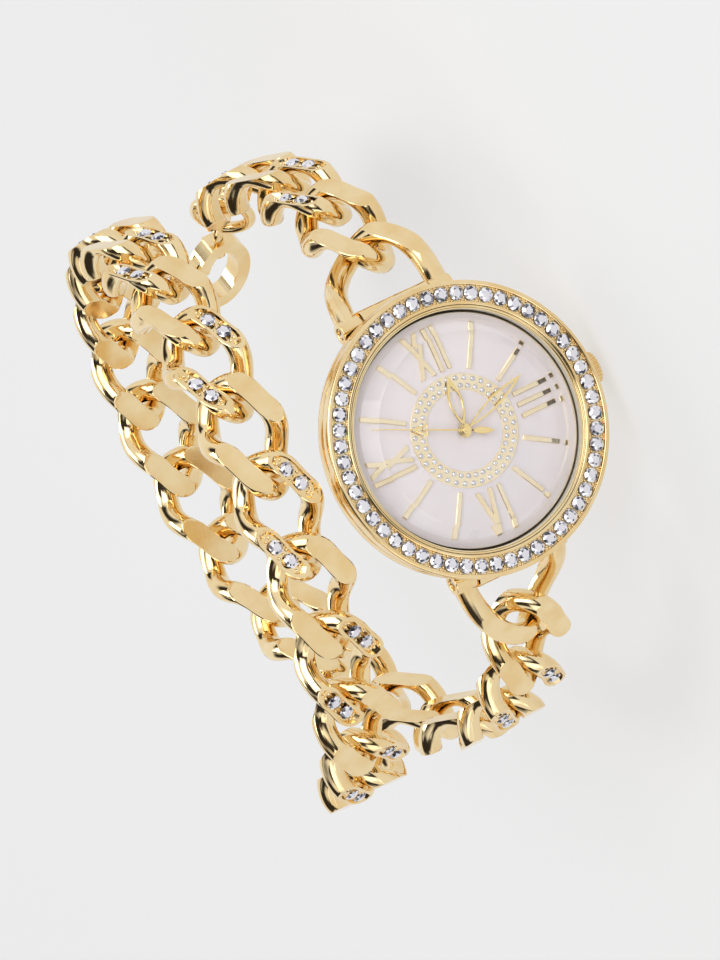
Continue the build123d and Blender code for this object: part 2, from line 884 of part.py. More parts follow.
coil_plane = Plane(origin=(0, -coil_height, coil_offset), z_dir=(1, 0, 0))
with BuildPart() as coil:
    with BuildSketch(coil_plane.offset(-coil_bobbin_length)):
        Circle(coil_radius)
    extrude(amount=coil_bobbin_length)
save(coil.part, "coil")

with BuildPart() as circuit_board:
    with BuildSketch(head_plane(plate_height - board_thickness)):
        with Locations((-board_width / 2, -board_offset)):
            Rectangle(board_length, board_width)
    extrude(amount=board_thickness)
save(circuit_board.part, "circuit_board")

# crown and stem

with BuildPart() as crown:
    with BuildSketch(Plane(origin=(0, -crown_height, -crown_start))):
        Circle(crown_radius)
        with PolarLocations(crown_radius, crown_flutes):
            Circle(flute_radius, mode=Mode.SUBTRACT)
    extrude(amount=-crown_length)
    with BuildSketch(Plane(origin=(0, -crown_height, -crown_start))):
        Circle(crown_stem_radius + pin_gap)
    extrude(amount=-stem_socket_depth, mode=Mode.SUBTRACT)
save(crown.part, "crown")

with BuildPart() as winding_stem:
    with BuildSketch(Plane(origin=(0, -crown_height, -stem_end))):
        Circle(crown_stem_radius)
    extrude(amount=stem_end - crown_start - stem_socket_depth)
save(winding_stem.part, "winding_stem")

# clasp on the short side: a ring, a swivel eye and a claw with a sprung lever

ring_offset = link_reach - link_wire / 2 - ring_wire / 2 - ring_link_gap + ring_mean_radius
ring_span = ring_offset + ring_mean_radius - link_pitch / 2
claw_span = claw_tail_start + 2 * claw_half_length
ring_angle = short_angles[-1]
swivel_angle = next_angle(ring_angle, ring_span, short_height)
tip_angle = next_angle(swivel_angle, claw_span, short_height)
ring_hinge, swivel_hinge, claw_tip = (
    hinge_point(angle, 1, short_height) for angle in (ring_angle, swivel_angle, tip_angle)
)
ring_frame = chord_frame(ring_hinge, swivel_hinge)
claw_frame = chord_frame(swivel_hinge, claw_tip)
claw_frame = Plane(origin=swivel_hinge, x_dir=claw_frame.x_dir, z_dir=claw_frame.z_dir)


def tilted_ring(frame, centre_along, mean_radius, wire, tilt):
    """Round ring whose plane holds the chain's line and is tilted about it."""
    with BuildPart() as ring:
        Torus(mean_radius, wire / 2)
    turn = Rotation(tilt, 0, 0)
    return frame.location * Location((centre_along, 0, 0)) * turn * ring.part


ring_centre = ring_span / 2 - ring_mean_radius
save(tilted_ring(ring_frame, ring_centre, ring_mean_radius, ring_wire, ring_tilt), "clasp_ring")

shank_end = claw_tail_start + claw_wall + 2 * running_gap + shank_head_length
with BuildPart() as swivel_shank:
    with BuildSketch(Plane.YZ.offset(swivel_mean_radius)):
        Circle(shank_radius)
    extrude(amount=shank_end - swivel_mean_radius)
    with BuildSketch(Plane.YZ.offset(shank_end - shank_head_length)):
        Circle(shank_head_radius)
    extrude(amount=shank_head_length)
with BuildPart() as claw_swivel:
    add(tilted_ring(claw_frame, 0, swivel_mean_radius, swivel_wire, ring_tilt - 90))
    add(claw_frame.location * swivel_shank.part)
save(claw_swivel.part, "claw_swivel")

claw_centre = claw_tail_start + claw_half_length
opening_half_length = claw_half_length - claw_wall
opening_half_width = claw_half_width - claw_wall
gate_middle_width = claw_half_width - claw_wall / 2
gate_start = claw_centre - claw_half_length * gate_start_share
gate_end = claw_centre + claw_half_length * gate_end_share
lever_pivot = (gate_start - lever_boss_radius, gate_middle_width - claw_wall / 4)


def gate_outline(gap):
    """Outline of the lever's arm, less a gap: the part of the hook that opens."""
    Ellipse(claw_half_length - gap, claw_half_width - gap)
    Ellipse(opening_half_length + gap, opening_half_width + gap, mode=Mode.SUBTRACT)
    left = gate_start + gap - claw_centre
    right = gate_end - gap - claw_centre
    with Locations(((left + right) / 2, claw_half_width / 2)):
        Rectangle(right - left, claw_half_width, mode=Mode.INTERSECT)


with BuildPart() as claw_body_blank:
    with BuildSketch(Plane.XY):
        with Locations((claw_centre, 0)):
            Ellipse(claw_half_length, claw_half_width)
        with Locations(((claw_tail_start + claw_centre) / 2, 0)):
            Rectangle(claw_half_length, claw_tail_width)
        with Locations((claw_centre, 0)):
            Ellipse(opening_half_length, opening_half_width, mode=Mode.SUBTRACT)
        with Locations(((gate_start + gate_end) / 2, claw_half_width)):
            Rectangle(gate_end - gate_start, 2 * claw_half_width, mode=Mode.SUBTRACT)
    extrude(amount=claw_thickness / 2, both=True)
    with BuildSketch(Plane.XY):
        with Locations(lever_pivot):
            Circle(lever_boss_radius + running_gap)
            with Locations((lever_boss_radius, claw_half_width / 2)):
                Rectangle(2 * lever_boss_radius, claw_half_width)
        with Locations(lever_pivot):
            Circle(lever_pin_radius, mode=Mode.SUBTRACT)
    extrude(amount=lever_thickness / 2 + running_gap / 2, both=True, mode=Mode.SUBTRACT)
    with BuildSketch(Plane.YZ.offset(claw_tail_start)):
        Circle(shank_radius + pin_gap)
    extrude(amount=claw_half_length, mode=Mode.SUBTRACT)
with BuildPart() as claw_body:
    add(claw_frame.location * claw_body_blank.part)
save(claw_body.part, "claw_body")

with BuildPart() as lever_blank:
    with BuildSketch(Plane(origin=(claw_centre, 0, 0))):
        gate_outline(running_gap / 2)
    extrude(amount=lever_thickness / 2, both=True)
    with BuildSketch(Plane.XY):
        with Locations(lever_pivot):
            Circle(lever_boss_radius)
            with Locations((lever_boss_radius, 0)):
                Rectangle(2 * lever_boss_radius, lever_boss_radius)
            with Locations((0, lever_thumb_length)):
                Circle(lever_thumb_radius)
            with Locations((0, lever_thumb_length / 2)):
                Rectangle(2 * lever_thumb_radius, lever_thumb_length)
            Circle(lever_pin_radius + pin_gap, mode=Mode.SUBTRACT)
    extrude(amount=lever_thickness / 2, both=True)
with BuildPart() as claw_lever:
    add(claw_frame.location * lever_blank.part)
save(claw_lever.part, "claw_lever")
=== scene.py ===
"""Women's bracelet watch on a curb chain that wraps the wrist twice.

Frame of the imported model: Z along the wrist, the dial faces -Y, twelve o'clock is +X and three
o'clock is -Z. Sizes in the classes are millimetres and are turned to metres when a mesh is made.
"""

import json
import logging
from dataclasses import dataclass, field
from enum import Enum
from typing import Optional, Sequence

import bmesh
import bpy
import numpy as np
from mathutils import Matrix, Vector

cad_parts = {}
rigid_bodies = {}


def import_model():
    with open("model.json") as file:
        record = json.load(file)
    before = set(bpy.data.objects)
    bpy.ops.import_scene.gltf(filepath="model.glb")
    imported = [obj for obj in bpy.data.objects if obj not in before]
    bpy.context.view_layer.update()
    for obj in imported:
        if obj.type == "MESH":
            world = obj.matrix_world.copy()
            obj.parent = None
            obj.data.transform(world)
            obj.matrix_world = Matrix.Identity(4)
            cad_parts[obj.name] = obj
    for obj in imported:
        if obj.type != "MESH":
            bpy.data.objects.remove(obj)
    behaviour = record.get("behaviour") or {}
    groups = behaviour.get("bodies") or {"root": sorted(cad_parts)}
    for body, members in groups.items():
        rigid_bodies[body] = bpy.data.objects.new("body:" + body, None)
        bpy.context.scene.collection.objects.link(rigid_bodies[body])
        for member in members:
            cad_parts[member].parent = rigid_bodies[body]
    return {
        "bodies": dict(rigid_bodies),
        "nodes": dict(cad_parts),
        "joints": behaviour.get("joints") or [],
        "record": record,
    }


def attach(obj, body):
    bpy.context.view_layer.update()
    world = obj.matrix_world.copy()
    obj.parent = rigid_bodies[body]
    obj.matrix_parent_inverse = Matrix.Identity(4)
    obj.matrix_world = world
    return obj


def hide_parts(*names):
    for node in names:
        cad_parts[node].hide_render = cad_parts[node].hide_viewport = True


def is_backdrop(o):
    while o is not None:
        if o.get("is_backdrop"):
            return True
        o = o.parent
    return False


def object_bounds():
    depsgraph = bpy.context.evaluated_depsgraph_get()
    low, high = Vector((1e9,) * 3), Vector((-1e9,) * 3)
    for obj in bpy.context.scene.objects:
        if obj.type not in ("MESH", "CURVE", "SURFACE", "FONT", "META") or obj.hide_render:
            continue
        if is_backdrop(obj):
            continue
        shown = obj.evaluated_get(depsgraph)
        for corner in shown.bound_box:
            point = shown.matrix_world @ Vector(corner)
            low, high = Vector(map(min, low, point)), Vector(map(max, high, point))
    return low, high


MILLIMETRE = 0.001
WELD = 1e-7
ROUNDING_SHARE = 0.45
SOFT_SHARE = 0.2
SHOULDER_SHARE = 0.8
DOME_RINGS = (0, 32, 62)
FLOOR_SHARES = (1.0, 0.5, 0.0, -0.5, -1.0)
GIRDLE_SHARE = 0.62
TABLE_SHARE = 0.56
STAR_SHARE = 0.80
STAR_HEIGHT_SHARE = 0.45
# Painted reflections of the brilliants' facets: the table's fixed tone and the power on the random tones.
TABLE_REFLECTION_TONE = 0.68
FACET_REFLECTION_POWER = 0.8
LOG = logging.getLogger("bracelet_watch")
Array = np.ndarray


# plain mesh making


def unit(vectors: Array) -> Array:
    """Scale vectors to length one.

    Args:
        vectors: Array whose last axis holds three components.

    Returns:
        The same directions at length one.
    """
    return vectors / np.linalg.norm(vectors, axis=-1, keepdims=True)


@dataclass
class Surface:
    """Vertices and faces of one piece, in millimetres.

    Attributes:
        vertices: Array of points.
        faces: Vertex numbers of each face, facing outwards.
        tones: One number from 0 to 1 for each face; on a stone it sets the facet's painted reflection.
    """

    vertices: Array = field(default_factory=lambda: np.zeros((0, 3)))
    faces: list = field(default_factory=list)
    tones: list = field(default_factory=list)

    def add(self, vertices: Array, faces: Sequence, tones: Optional[Sequence] = None) -> None:
        """Append one more shell.

        Args:
            vertices: Its points, of shape (n, 3).
            faces: Its faces, numbered from its own first point.
            tones: Its faces' tones, or None for the middle tone.
        """
        start = len(self.vertices)
        self.vertices = np.vstack([self.vertices, vertices])
        self.faces += [tuple(int(start + i) for i in face) for face in faces]
        self.tones += list(tones) if tones is not None else [0.5] * len(faces)

    def grid(self, points: Array, around: bool, closed: bool, flip: bool = False) -> None:
        """Append a grid of points as quads.

        Args:
            points: Array of shape (rows, columns, 3).
            around: Whether the last column joins the first.
            closed: Whether the last row joins the first.
            flip: Whether the faces turn the other way.
        """
        rows, columns = points.shape[:2]
        i = np.arange(rows if closed else rows - 1)[:, None]
        j = np.arange(columns if around else columns - 1)[None, :]
        after_i, after_j = (i + 1) % rows, (j + 1) % columns
        quads = np.stack([
            i * columns + j, after_i * columns + j,
            after_i * columns + after_j, i * columns + after_j,
        ], axis=-1).reshape(-1, 4)
        self.add(points.reshape(-1, 3), quads[:, ::-1] if flip else quads)

    def fan(self, rim: Array, centre: Array, flip: bool = False) -> None:
        """Append triangles from a closed rim to one point.

        Args:
            rim: Points of the rim, of shape (n, 3).
            centre: The point.
            flip: Whether the faces turn the other way.
        """
        count = len(rim)
        faces = [(i, (i + 1) % count, count) for i in range(count)]
        self.add(np.vstack([rim, centre]), [f[::-1] for f in faces] if flip else faces)


class Place:
    """A frame with an origin and three square directions, in millimetres."""

    def __init__(self, origin: Array, x: Array, z: Array) -> None:
        """Set the frame from its origin, its X way and a way near its Z."""
        self.origin = np.asarray(origin, float)
        self.x = unit(np.asarray(x, float))
        z = np.asarray(z, float)
        self.z = unit(z - self.x * (z @ self.x))
        self.y = np.cross(self.z, self.x)

    def put(self, points: Array) -> Array:
        """Carry points from this frame into the frame of the model."""
        return self.origin + points @ np.stack([self.x, self.y, self.z])


def dial_place(height: float, turn: float = 0.0) -> Place:
    """Frame facing out of the dial.

    Args:
        height: Distance from the wrist axis.
        turn: Degrees clockwise from twelve o'clock.

    Returns:
        The frame, its X pointing towards that place on the dial.
    """
    angle = np.radians(turn)
    return Place([0, -height, 0], [np.cos(angle), 0, -np.sin(angle)], [0, -1, 0])


def rounded(corners: Sequence, radius: float, steps: int = 4) -> Array:
    """Round the corners of a closed outline.

    Each corner becomes a parabola between the points that lie one radius from it along both
    sides, or less on a short side: (1-t)^2 before + 2t(1-t) corner + t^2 after.

    Args:
        corners: Corner points, of shape (n, 2).
        radius: How far from each corner the rounding starts.
        steps: Points less one in each rounding.

    Returns:
        The points of the rounded outline.
    """
    corner = np.asarray(corners, float)
    back, ahead = np.roll(corner, 1, 0) - corner, np.roll(corner, -1, 0) - corner
    lengths = [np.linalg.norm(side, axis=1, keepdims=True) for side in (back, ahead)]
    before, after = (
        corner + side / length * np.minimum(radius, ROUNDING_SHARE * length)
        for side, length in zip((back, ahead), lengths)
    )
    t = np.linspace(0, 1, steps + 1)[None, :, None]
    curve = (1 - t) ** 2 * before[:, None] + 2 * t * (1 - t) * corner[:, None] + t**2 * after[:, None]
    return curve.reshape(-1, 2)


def turned(surface: Surface, outline: Array, turns: int = 192, closed: bool = True) -> None:
    """Append a piece turned about the dial axis.

    A point of radius r and height h at angle a lies at (r cos a, -h, r sin a).

    Args:
        surface: The piece.
        outline: Radius and height pairs, from the inner side upwards and round.
        turns: Stations round the axis.
        closed: Whether the outline joins up, or else starts and ends on the axis.
    """
    angle = np.linspace(0, 2 * np.pi, turns, endpoint=False)[:, None]
    radius, height = outline[:, 0][None], outline[:, 1][None]
    points = np.stack([radius * np.cos(angle), -height + 0 * angle, radius * np.sin(angle)], axis=-1)
    if closed:
        surface.grid(points, around=True, closed=True)
        return
    surface.grid(points[:, 1:-1], around=False, closed=True)
    surface.fan(points[:, 1], np.array([0, -outline[0, 1], 0]), flip=False)
    surface.fan(points[:, -2], np.array([0, -outline[-1, 1], 0]), flip=True)


def prism(surface: Surface, place: Place, outline: Array, height: float, bevel: float) -> None:
    """Append a flat piece with a bevelled upper edge.

    The upper outline is the lower one drawn towards its middle by the bevel.

    Args:
        surface: The piece.
        place: Frame whose Z is the way up.
        outline: Corners anticlockwise, of shape (n, 2).
        height: Height of the top over the frame.
        bevel: Width and height of the bevel.
    """
    middle = outline.mean(0)
    span = np.abs(outline - middle).max(0)
    inner = middle + (outline - middle) * (1 - bevel / np.maximum(span, bevel * 2))
    levels = [(outline, 0.0), (outline, height - bevel), (inner, height)]
    rows = [np.column_stack([shape, np.full(len(shape), level)]) for shape, level in levels]
    points = np.stack([place.put(row) for row in rows])
    surface.grid(points, around=True, closed=False, flip=True)
    surface.fan(points[-1], place.put(np.array([*middle, height])))
    surface.fan(points[0], place.put(np.array([*middle, 0.0])), flip=True)


def frame_strip(surface: Surface, place: Place, outer: Array, inner: Array, height: float) -> None:
    """Append a flat piece with one window, as a section carried round its outline.

    Args:
        surface: The piece.
        place: Frame whose Z is the way up.
        outer: Outer outline, anticlockwise, of shape (n, 2).
        inner: Window outline with as many points.
        height: Thickness of the piece.
    """
    soft, shoulder = SOFT_SHARE * (outer - inner), SHOULDER_SHARE * height
    rows = [(inner, 0.0), (inner, shoulder), (inner + soft, height), (outer - soft, height),
            (outer, shoulder), (outer, 0.0)]
    points = np.stack(
        [place.put(np.column_stack([shape, np.full(len(shape), level)])) for shape, level in rows], axis=1
    )
    surface.grid(points, around=True, closed=True, flip=True)


def dome(surface: Surface, place: Place, radius: float, height: float, sides: int = 8) -> None:
    """Append a small bead: rings of radius r cos e at height h sin e, closed at both ends.

    Args:
        surface: The piece.
        place: Frame whose Z is the way up.
        radius: Radius of the bead.
        height: Its height.
        sides: Sides of the rings.
    """
    turn = np.linspace(0, 2 * np.pi, sides, endpoint=False)[None]
    rise = np.radians(DOME_RINGS)[:, None]
    points = np.stack([
        radius * np.cos(rise) * np.cos(turn), radius * np.cos(rise) * np.sin(turn),
        height * np.sin(rise) + 0 * turn,
    ], axis=-1)
    points = place.put(points)
    surface.grid(points, around=True, closed=False, flip=True)
    surface.fan(points[-1], place.put(np.array([0, 0, height])))
    surface.fan(points[0], place.put(np.zeros(3)), flip=True)


def finished(name: str, surface: Surface, material: bpy.types.Material, slot: str, body: str,
             smooth: float = 28.0, replaces: Sequence[str] = ()) -> bpy.types.Object:
    """Make the Blender object of a piece and set it on its body.

    Args:
        name: Name of the piece.
        surface: Its vertices and faces.
        material: Its finish.
        slot: Material slot of the record; not used.
        body: Body that it rides on.
        smooth: Angle in degrees over which an edge is sharp.
        replaces: Nodes that the piece stands for.

    Returns:
        The object.
    """
    mesh = bpy.data.meshes.new(name)
    mesh.from_pydata((surface.vertices * MILLIMETRE).tolist(), [], surface.faces)
    # The per-face tone gives the stones' facets their painted reflections.
    tone = mesh.attributes.new("tone", "FLOAT", "FACE")
    tone.data.foreach_set("value", np.asarray(surface.tones, np.float32))
    weld = bmesh.new()
    weld.from_mesh(mesh)
    bmesh.ops.remove_doubles(weld, verts=weld.verts, dist=WELD)
    bmesh.ops.recalc_face_normals(weld, faces=weld.faces)
    weld.to_mesh(mesh)
    weld.free()
    mesh.polygons.foreach_set("use_smooth", np.full(len(mesh.polygons), smooth > 0))
    if smooth > 0:
        mesh.set_sharp_from_angle(angle=float(np.radians(smooth)))
    mesh.materials.append(material)
    mesh.update()
    piece = bpy.data.objects.new(name, mesh)
    bpy.context.scene.collection.objects.link(piece)
    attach(piece, body)
    if replaces:
        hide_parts(*replaces)
    LOG.info("%s: %d faces on %s", name, len(mesh.polygons), body)
    return piece


# finishes


class Graph:
    """The node tree of one material, with short ways to add to it."""

    def __init__(self, name: str) -> None:
        """Start a material with one Principled shader."""
        self.material = bpy.data.materials.new(name)
        self.material.use_nodes = True
        self.tree = self.material.node_tree
        self.shader = self.tree.nodes["Principled BSDF"]

    def node(self, kind: str, **values: object) -> bpy.types.Node:
        """Add a node.

        Args:
            kind: Its type.
            values: Its properties.

        Returns:
            The node.
        """
        made = self.tree.nodes.new(kind)
        for key, value in values.items():
            setattr(made, key, value)
        return made

    def link(self, start: bpy.types.NodeSocket, end: bpy.types.NodeSocket) -> None:
        """Join two sockets."""
        self.tree.links.new(start, end)

    def place(self) -> bpy.types.NodeSocket:
        """Object coordinates of the piece."""
        return self.node("ShaderNodeTexCoord").outputs["Object"]

    def noise(self, scale: float, detail: float = 3.0) -> bpy.types.NodeSocket:
        """Soft noise on the piece, with features of one over the scale in metres."""
        noise = self.node("ShaderNodeTexNoise")
        noise.inputs["Scale"].default_value = scale
        noise.inputs["Detail"].default_value = detail
        self.link(self.place(), noise.inputs["Vector"])
        return noise.outputs["Fac"]

    def ramp(self, value: bpy.types.NodeSocket, stops: Sequence) -> bpy.types.NodeSocket:
        """Map a number to colours.

        Args:
            value: The number.
            stops: Pairs of a place from 0 to 1 and a colour.

        Returns:
            The colour socket.
        """
        ramp = self.node("ShaderNodeValToRGB")
        while len(ramp.color_ramp.elements) < len(stops):
            ramp.color_ramp.elements.new(0.5)
        for element, (position, colour) in zip(ramp.color_ramp.elements, stops):
            element.position = position
            element.color = (*colour, 1.0)
        self.link(value, ramp.inputs["Fac"])
        return ramp.outputs["Color"]

    def span(self, value: bpy.types.NodeSocket, low: float, high: float) -> bpy.types.NodeSocket:
        """Map a number from 0 to 1 onto a range."""
        span = self.node("ShaderNodeMapRange")
        span.inputs["To Min"].default_value = low
        span.inputs["To Max"].default_value = high
        self.link(value, span.inputs["Value"])
        return span.outputs["Result"]

    def bump(self, value: bpy.types.NodeSocket, distance: float, strength: float = 1.0) -> None:
        """Raise the surface by a number, up to a distance in metres."""
        bump = self.node("ShaderNodeBump")
        bump.inputs["Distance"].default_value = distance
        bump.inputs["Strength"].default_value = strength
        self.link(value, bump.inputs["Height"])
        self.link(bump.outputs["Normal"], self.shader.inputs["Normal"])


@dataclass(frozen=True)
class PlatedGold:
    """Polished pale gold plating, with a faint change of tone and fine marks.

    Attributes:
        name: Name of the material.
        light: Colour of the plating.
        deep: Its colour in the deeper tone.
        smooth: Lowest roughness.
        worn: Highest roughness.
        ripple: Height of the fine unevenness in metres.
        grain: Features per metre of the unevenness.
        tone_grain: Features per metre of the change of tone.
        wear_grain: Features per metre of the change of roughness.
        tone_stops: Where the deeper tone ends and the lighter one starts.
    """

    name: str
    light: tuple = (0.93, 0.74, 0.43)
    deep: tuple = (0.88, 0.64, 0.31)
    smooth: float = 0.07
    worn: float = 0.14
    ripple: float = 0.000004
    grain: float = 900.0
    tone_grain: float = 220.0
    wear_grain: float = 700.0
    tone_stops: tuple = (0.35, 0.6)

    def make(self) -> bpy.types.Material:
        """Build the material."""
        graph = Graph(self.name)
        graph.shader.inputs["Metallic"].default_value = 1.0
        stops = list(zip(self.tone_stops, (self.deep, self.light)))
        graph.link(
            graph.ramp(graph.noise(self.tone_grain), stops), graph.shader.inputs["Base Color"]
        )
        graph.link(
            graph.span(graph.noise(self.wear_grain), self.smooth, self.worn),
            graph.shader.inputs["Roughness"],
        )
        graph.bump(graph.noise(self.grain), self.ripple)
        return graph.material


@dataclass(frozen=True)
class CutCrystal:
    """Foiled cut crystal whose facets carry painted reflections, dark, grey or white by each facet's number.

    Attributes:
        name: Name of the material.
        dark: Colour of the darkest painted reflection on the facets.
        grey: Colour of the middle painted reflection.
        white: Colour of the brightest painted reflection.
        tone_stops: Tones at which these three colours stand.
        metal: How metallic it is, from 0 to 1.
        smooth: Lowest roughness.
        worn: Highest roughness.
        grain: Features per metre of the change of roughness.
        coat: Weight of the clear coat.
        coat_roughness: Its roughness.
    """

    name: str = "cut_crystal"
    dark: tuple = (0.05, 0.05, 0.07)
    grey: tuple = (0.40, 0.39, 0.45)
    white: tuple = (0.92, 0.91, 0.96)
    tone_stops: tuple = (0.28, 0.50, 0.74)
    metal: float = 0.6
    smooth: float = 0.02
    worn: float = 0.06
    grain: float = 900.0
    coat: float = 0.5
    coat_roughness: float = 0.02

    def make(self) -> bpy.types.Material:
        """Build the material, its colour a painted reflection from each facet's own number."""
        graph = Graph(self.name)
        # Facet colour from the per-face tone: painted reflections, dark, grey and white.
        tone = graph.node("ShaderNodeAttribute", attribute_name="tone")
        stops = list(zip(self.tone_stops, (self.dark, self.grey, self.white)))
        graph.link(graph.ramp(tone.outputs["Fac"], stops), graph.shader.inputs["Base Color"])
        graph.shader.inputs["Metallic"].default_value = self.metal
        graph.link(
            graph.span(graph.noise(self.grain), self.smooth, self.worn), graph.shader.inputs["Roughness"]
        )
        graph.shader.inputs["Coat Weight"].default_value = self.coat
        graph.shader.inputs["Coat Roughness"].default_value = self.coat_roughness
        return graph.material


@dataclass(frozen=True)
class ClearGlass:
    """Clear mineral glass that lets light through to the dial.

    Attributes:
        name: Name of the material.
        index: Refractive index.
        tint: Its colour.
        worn: Highest roughness.
        grain: Features per metre of the change of roughness.
    """

    name: str = "lens_glass"
    index: float = 1.5
    tint: tuple = (0.985, 0.99, 1.0)
    worn: float = 0.004
    grain: float = 60.0

    def make(self) -> bpy.types.Material:
        """Build the material; shadow rays pass it."""
        graph = Graph(self.name)
        shader = graph.shader
        shader.inputs["Base Color"].default_value = (*self.tint, 1.0)
        shader.inputs["Transmission Weight"].default_value = 1.0
        shader.inputs["IOR"].default_value = self.index
        graph.link(graph.span(graph.noise(self.grain), 0.0, self.worn), shader.inputs["Roughness"])
        clear = graph.node("ShaderNodeBsdfTransparent")
        mix = graph.node("ShaderNodeMixShader")
        path = graph.node("ShaderNodeLightPath")
        graph.link(path.outputs["Is Shadow Ray"], mix.inputs["Fac"])
        graph.link(shader.outputs["BSDF"], mix.inputs[1])
        graph.link(clear.outputs["BSDF"], mix.inputs[2])
        graph.link(mix.outputs["Shader"], graph.tree.nodes["Material Output"].inputs["Surface"])
        return graph.material


@dataclass(frozen=True)
class PearlLacquer:
    """Near-white dial lacquer with a faint lilac pearl.

    Attributes:
        name: Name of the material.
        light: Its lighter colour.
        shade: Its darker colour.
        tone_stops: Where the darker colour ends and the lighter one starts.
        tone_grain: Features per metre of the change of colour.
        smooth: Lowest roughness.
        worn: Highest roughness.
        wear_grain: Features per metre of the change of roughness.
        coat: Weight of the clear coat.
        coat_roughness: Its roughness.
        ripple: Height of the fine unevenness in metres.
        grain: Features per metre of the unevenness.
    """

    name: str = "dial_pearl"
    light: tuple = (0.97, 0.885, 0.885)
    shade: tuple = (0.88, 0.81, 0.825)
    tone_stops: tuple = (0.3, 0.6)
    tone_grain: float = 55.0
    smooth: float = 0.25
    worn: float = 0.4
    wear_grain: float = 400.0
    coat: float = 0.4
    coat_roughness: float = 0.1
    ripple: float = 0.000004
    grain: float = 2500.0

    def make(self) -> bpy.types.Material:
        """Build the material."""
        graph = Graph(self.name)
        stops = list(zip(self.tone_stops, (self.shade, self.light)))
        graph.link(
            graph.ramp(graph.noise(self.tone_grain, detail=2.0), stops), graph.shader.inputs["Base Color"]
        )
        graph.link(
            graph.span(graph.noise(self.wear_grain), self.smooth, self.worn),
            graph.shader.inputs["Roughness"],
        )
        graph.shader.inputs["Coat Weight"].default_value = self.coat
        graph.shader.inputs["Coat Roughness"].default_value = self.coat_roughness
        graph.bump(graph.noise(self.grain), self.ripple)
        return graph.material


@dataclass(frozen=True)
class PlainFinish:
    """A finish of the pieces inside or behind, with a little grain.

    Attributes:
        name: Name of the material.
        light: Its lighter colour.
        dark: Its darker colour.
        metal: How metallic it is, from 0 to 1.
        smooth: Lowest roughness.
        worn: Highest roughness.
        grain: Features per metre.
        tone_stops: Where the darker colour ends and the lighter one starts.
        ripple: Height of the grain in metres.
    """

    name: str
    light: tuple
    dark: tuple
    metal: float
    smooth: float
    worn: float
    grain: float = 1500.0
    tone_stops: tuple = (0.3, 0.7)
    ripple: float = 0.00001

    def make(self) -> bpy.types.Material:
        """Build the material."""
        graph = Graph(self.name)
        graph.shader.inputs["Metallic"].default_value = self.metal
        stops = list(zip(self.tone_stops, (self.dark, self.light)))
        graph.link(graph.ramp(graph.noise(self.grain), stops), graph.shader.inputs["Base Color"])
        graph.link(
            graph.span(graph.noise(self.grain * 2), self.smooth, self.worn), graph.shader.inputs["Roughness"]
        )
        graph.bump(graph.noise(self.grain), self.ripple)
        return graph.material


class Finishes:
    """Every material of the watch, made once."""

    def __init__(self) -> None:
        """Build them all."""
        self.gold = PlatedGold("polished_gold").make()
        self.bright_gold = PlatedGold(
            "satin_gold", light=(1.0, 0.86, 0.60), deep=(0.97, 0.80, 0.50), smooth=0.06, worn=0.12
        ).make()
        self.hand_gold = PlatedGold(
            "hand_gold", light=(1.0, 0.78, 0.34), deep=(0.96, 0.71, 0.27), smooth=0.10, worn=0.18
        ).make()
        self.lining = PlatedGold(
            "channel_gold", light=(1.0, 0.86, 0.58), deep=(0.93, 0.74, 0.42), smooth=0.3, worn=0.45,
            ripple=0.00002, grain=4000.0,
        ).make()
        self.crystal = CutCrystal().make()
        self.glass = ClearGlass().make()
        self.dial = PearlLacquer().make()
        self.steel = PlainFinish("bead_steel", (0.90, 0.89, 0.93), (0.62, 0.61, 0.65), 0.9, 0.08, 0.18).make()
        self.by_slot = {
            "polished_gold": self.gold,
            "satin_gold": self.bright_gold,
            "crystal": self.crystal,
            "lens_glass": self.glass,
            "dial_face": self.dial,
            "seal_rubber": PlainFinish("seal", (0.80, 0.74, 0.62), (0.70, 0.64, 0.52), 0.0, 0.4, 0.6).make(),
            "movement_plastic": PlainFinish(
                "holder", (0.82, 0.82, 0.80), (0.74, 0.74, 0.72), 0.0, 0.4, 0.55
            ).make(),
            "movement_metal": PlainFinish(
                "nickel", (0.75, 0.74, 0.72), (0.62, 0.61, 0.60), 1.0, 0.22, 0.38
            ).make(),
            "gear_brass": PlainFinish("gear", (0.80, 0.62, 0.30), (0.68, 0.50, 0.22), 1.0, 0.2, 0.35).make(),
            "cell_steel": PlainFinish("cell", (0.80, 0.80, 0.80), (0.68, 0.68, 0.70), 1.0, 0.18, 0.3).make(),
            "coil_wire": PlainFinish(
                "winding", (0.66, 0.32, 0.14), (0.48, 0.20, 0.08), 0.9, 0.25, 0.4, 9000.0
            ).make(),
            "board": PlainFinish("laminate", (0.10, 0.30, 0.17), (0.07, 0.22, 0.12), 0.0, 0.35, 0.5).make(),
        }


# chain


class Side(Enum):
    """The two sides of the chain, by the sign of X where each leaves the case."""

    SHORT = 1
    LONG = -1


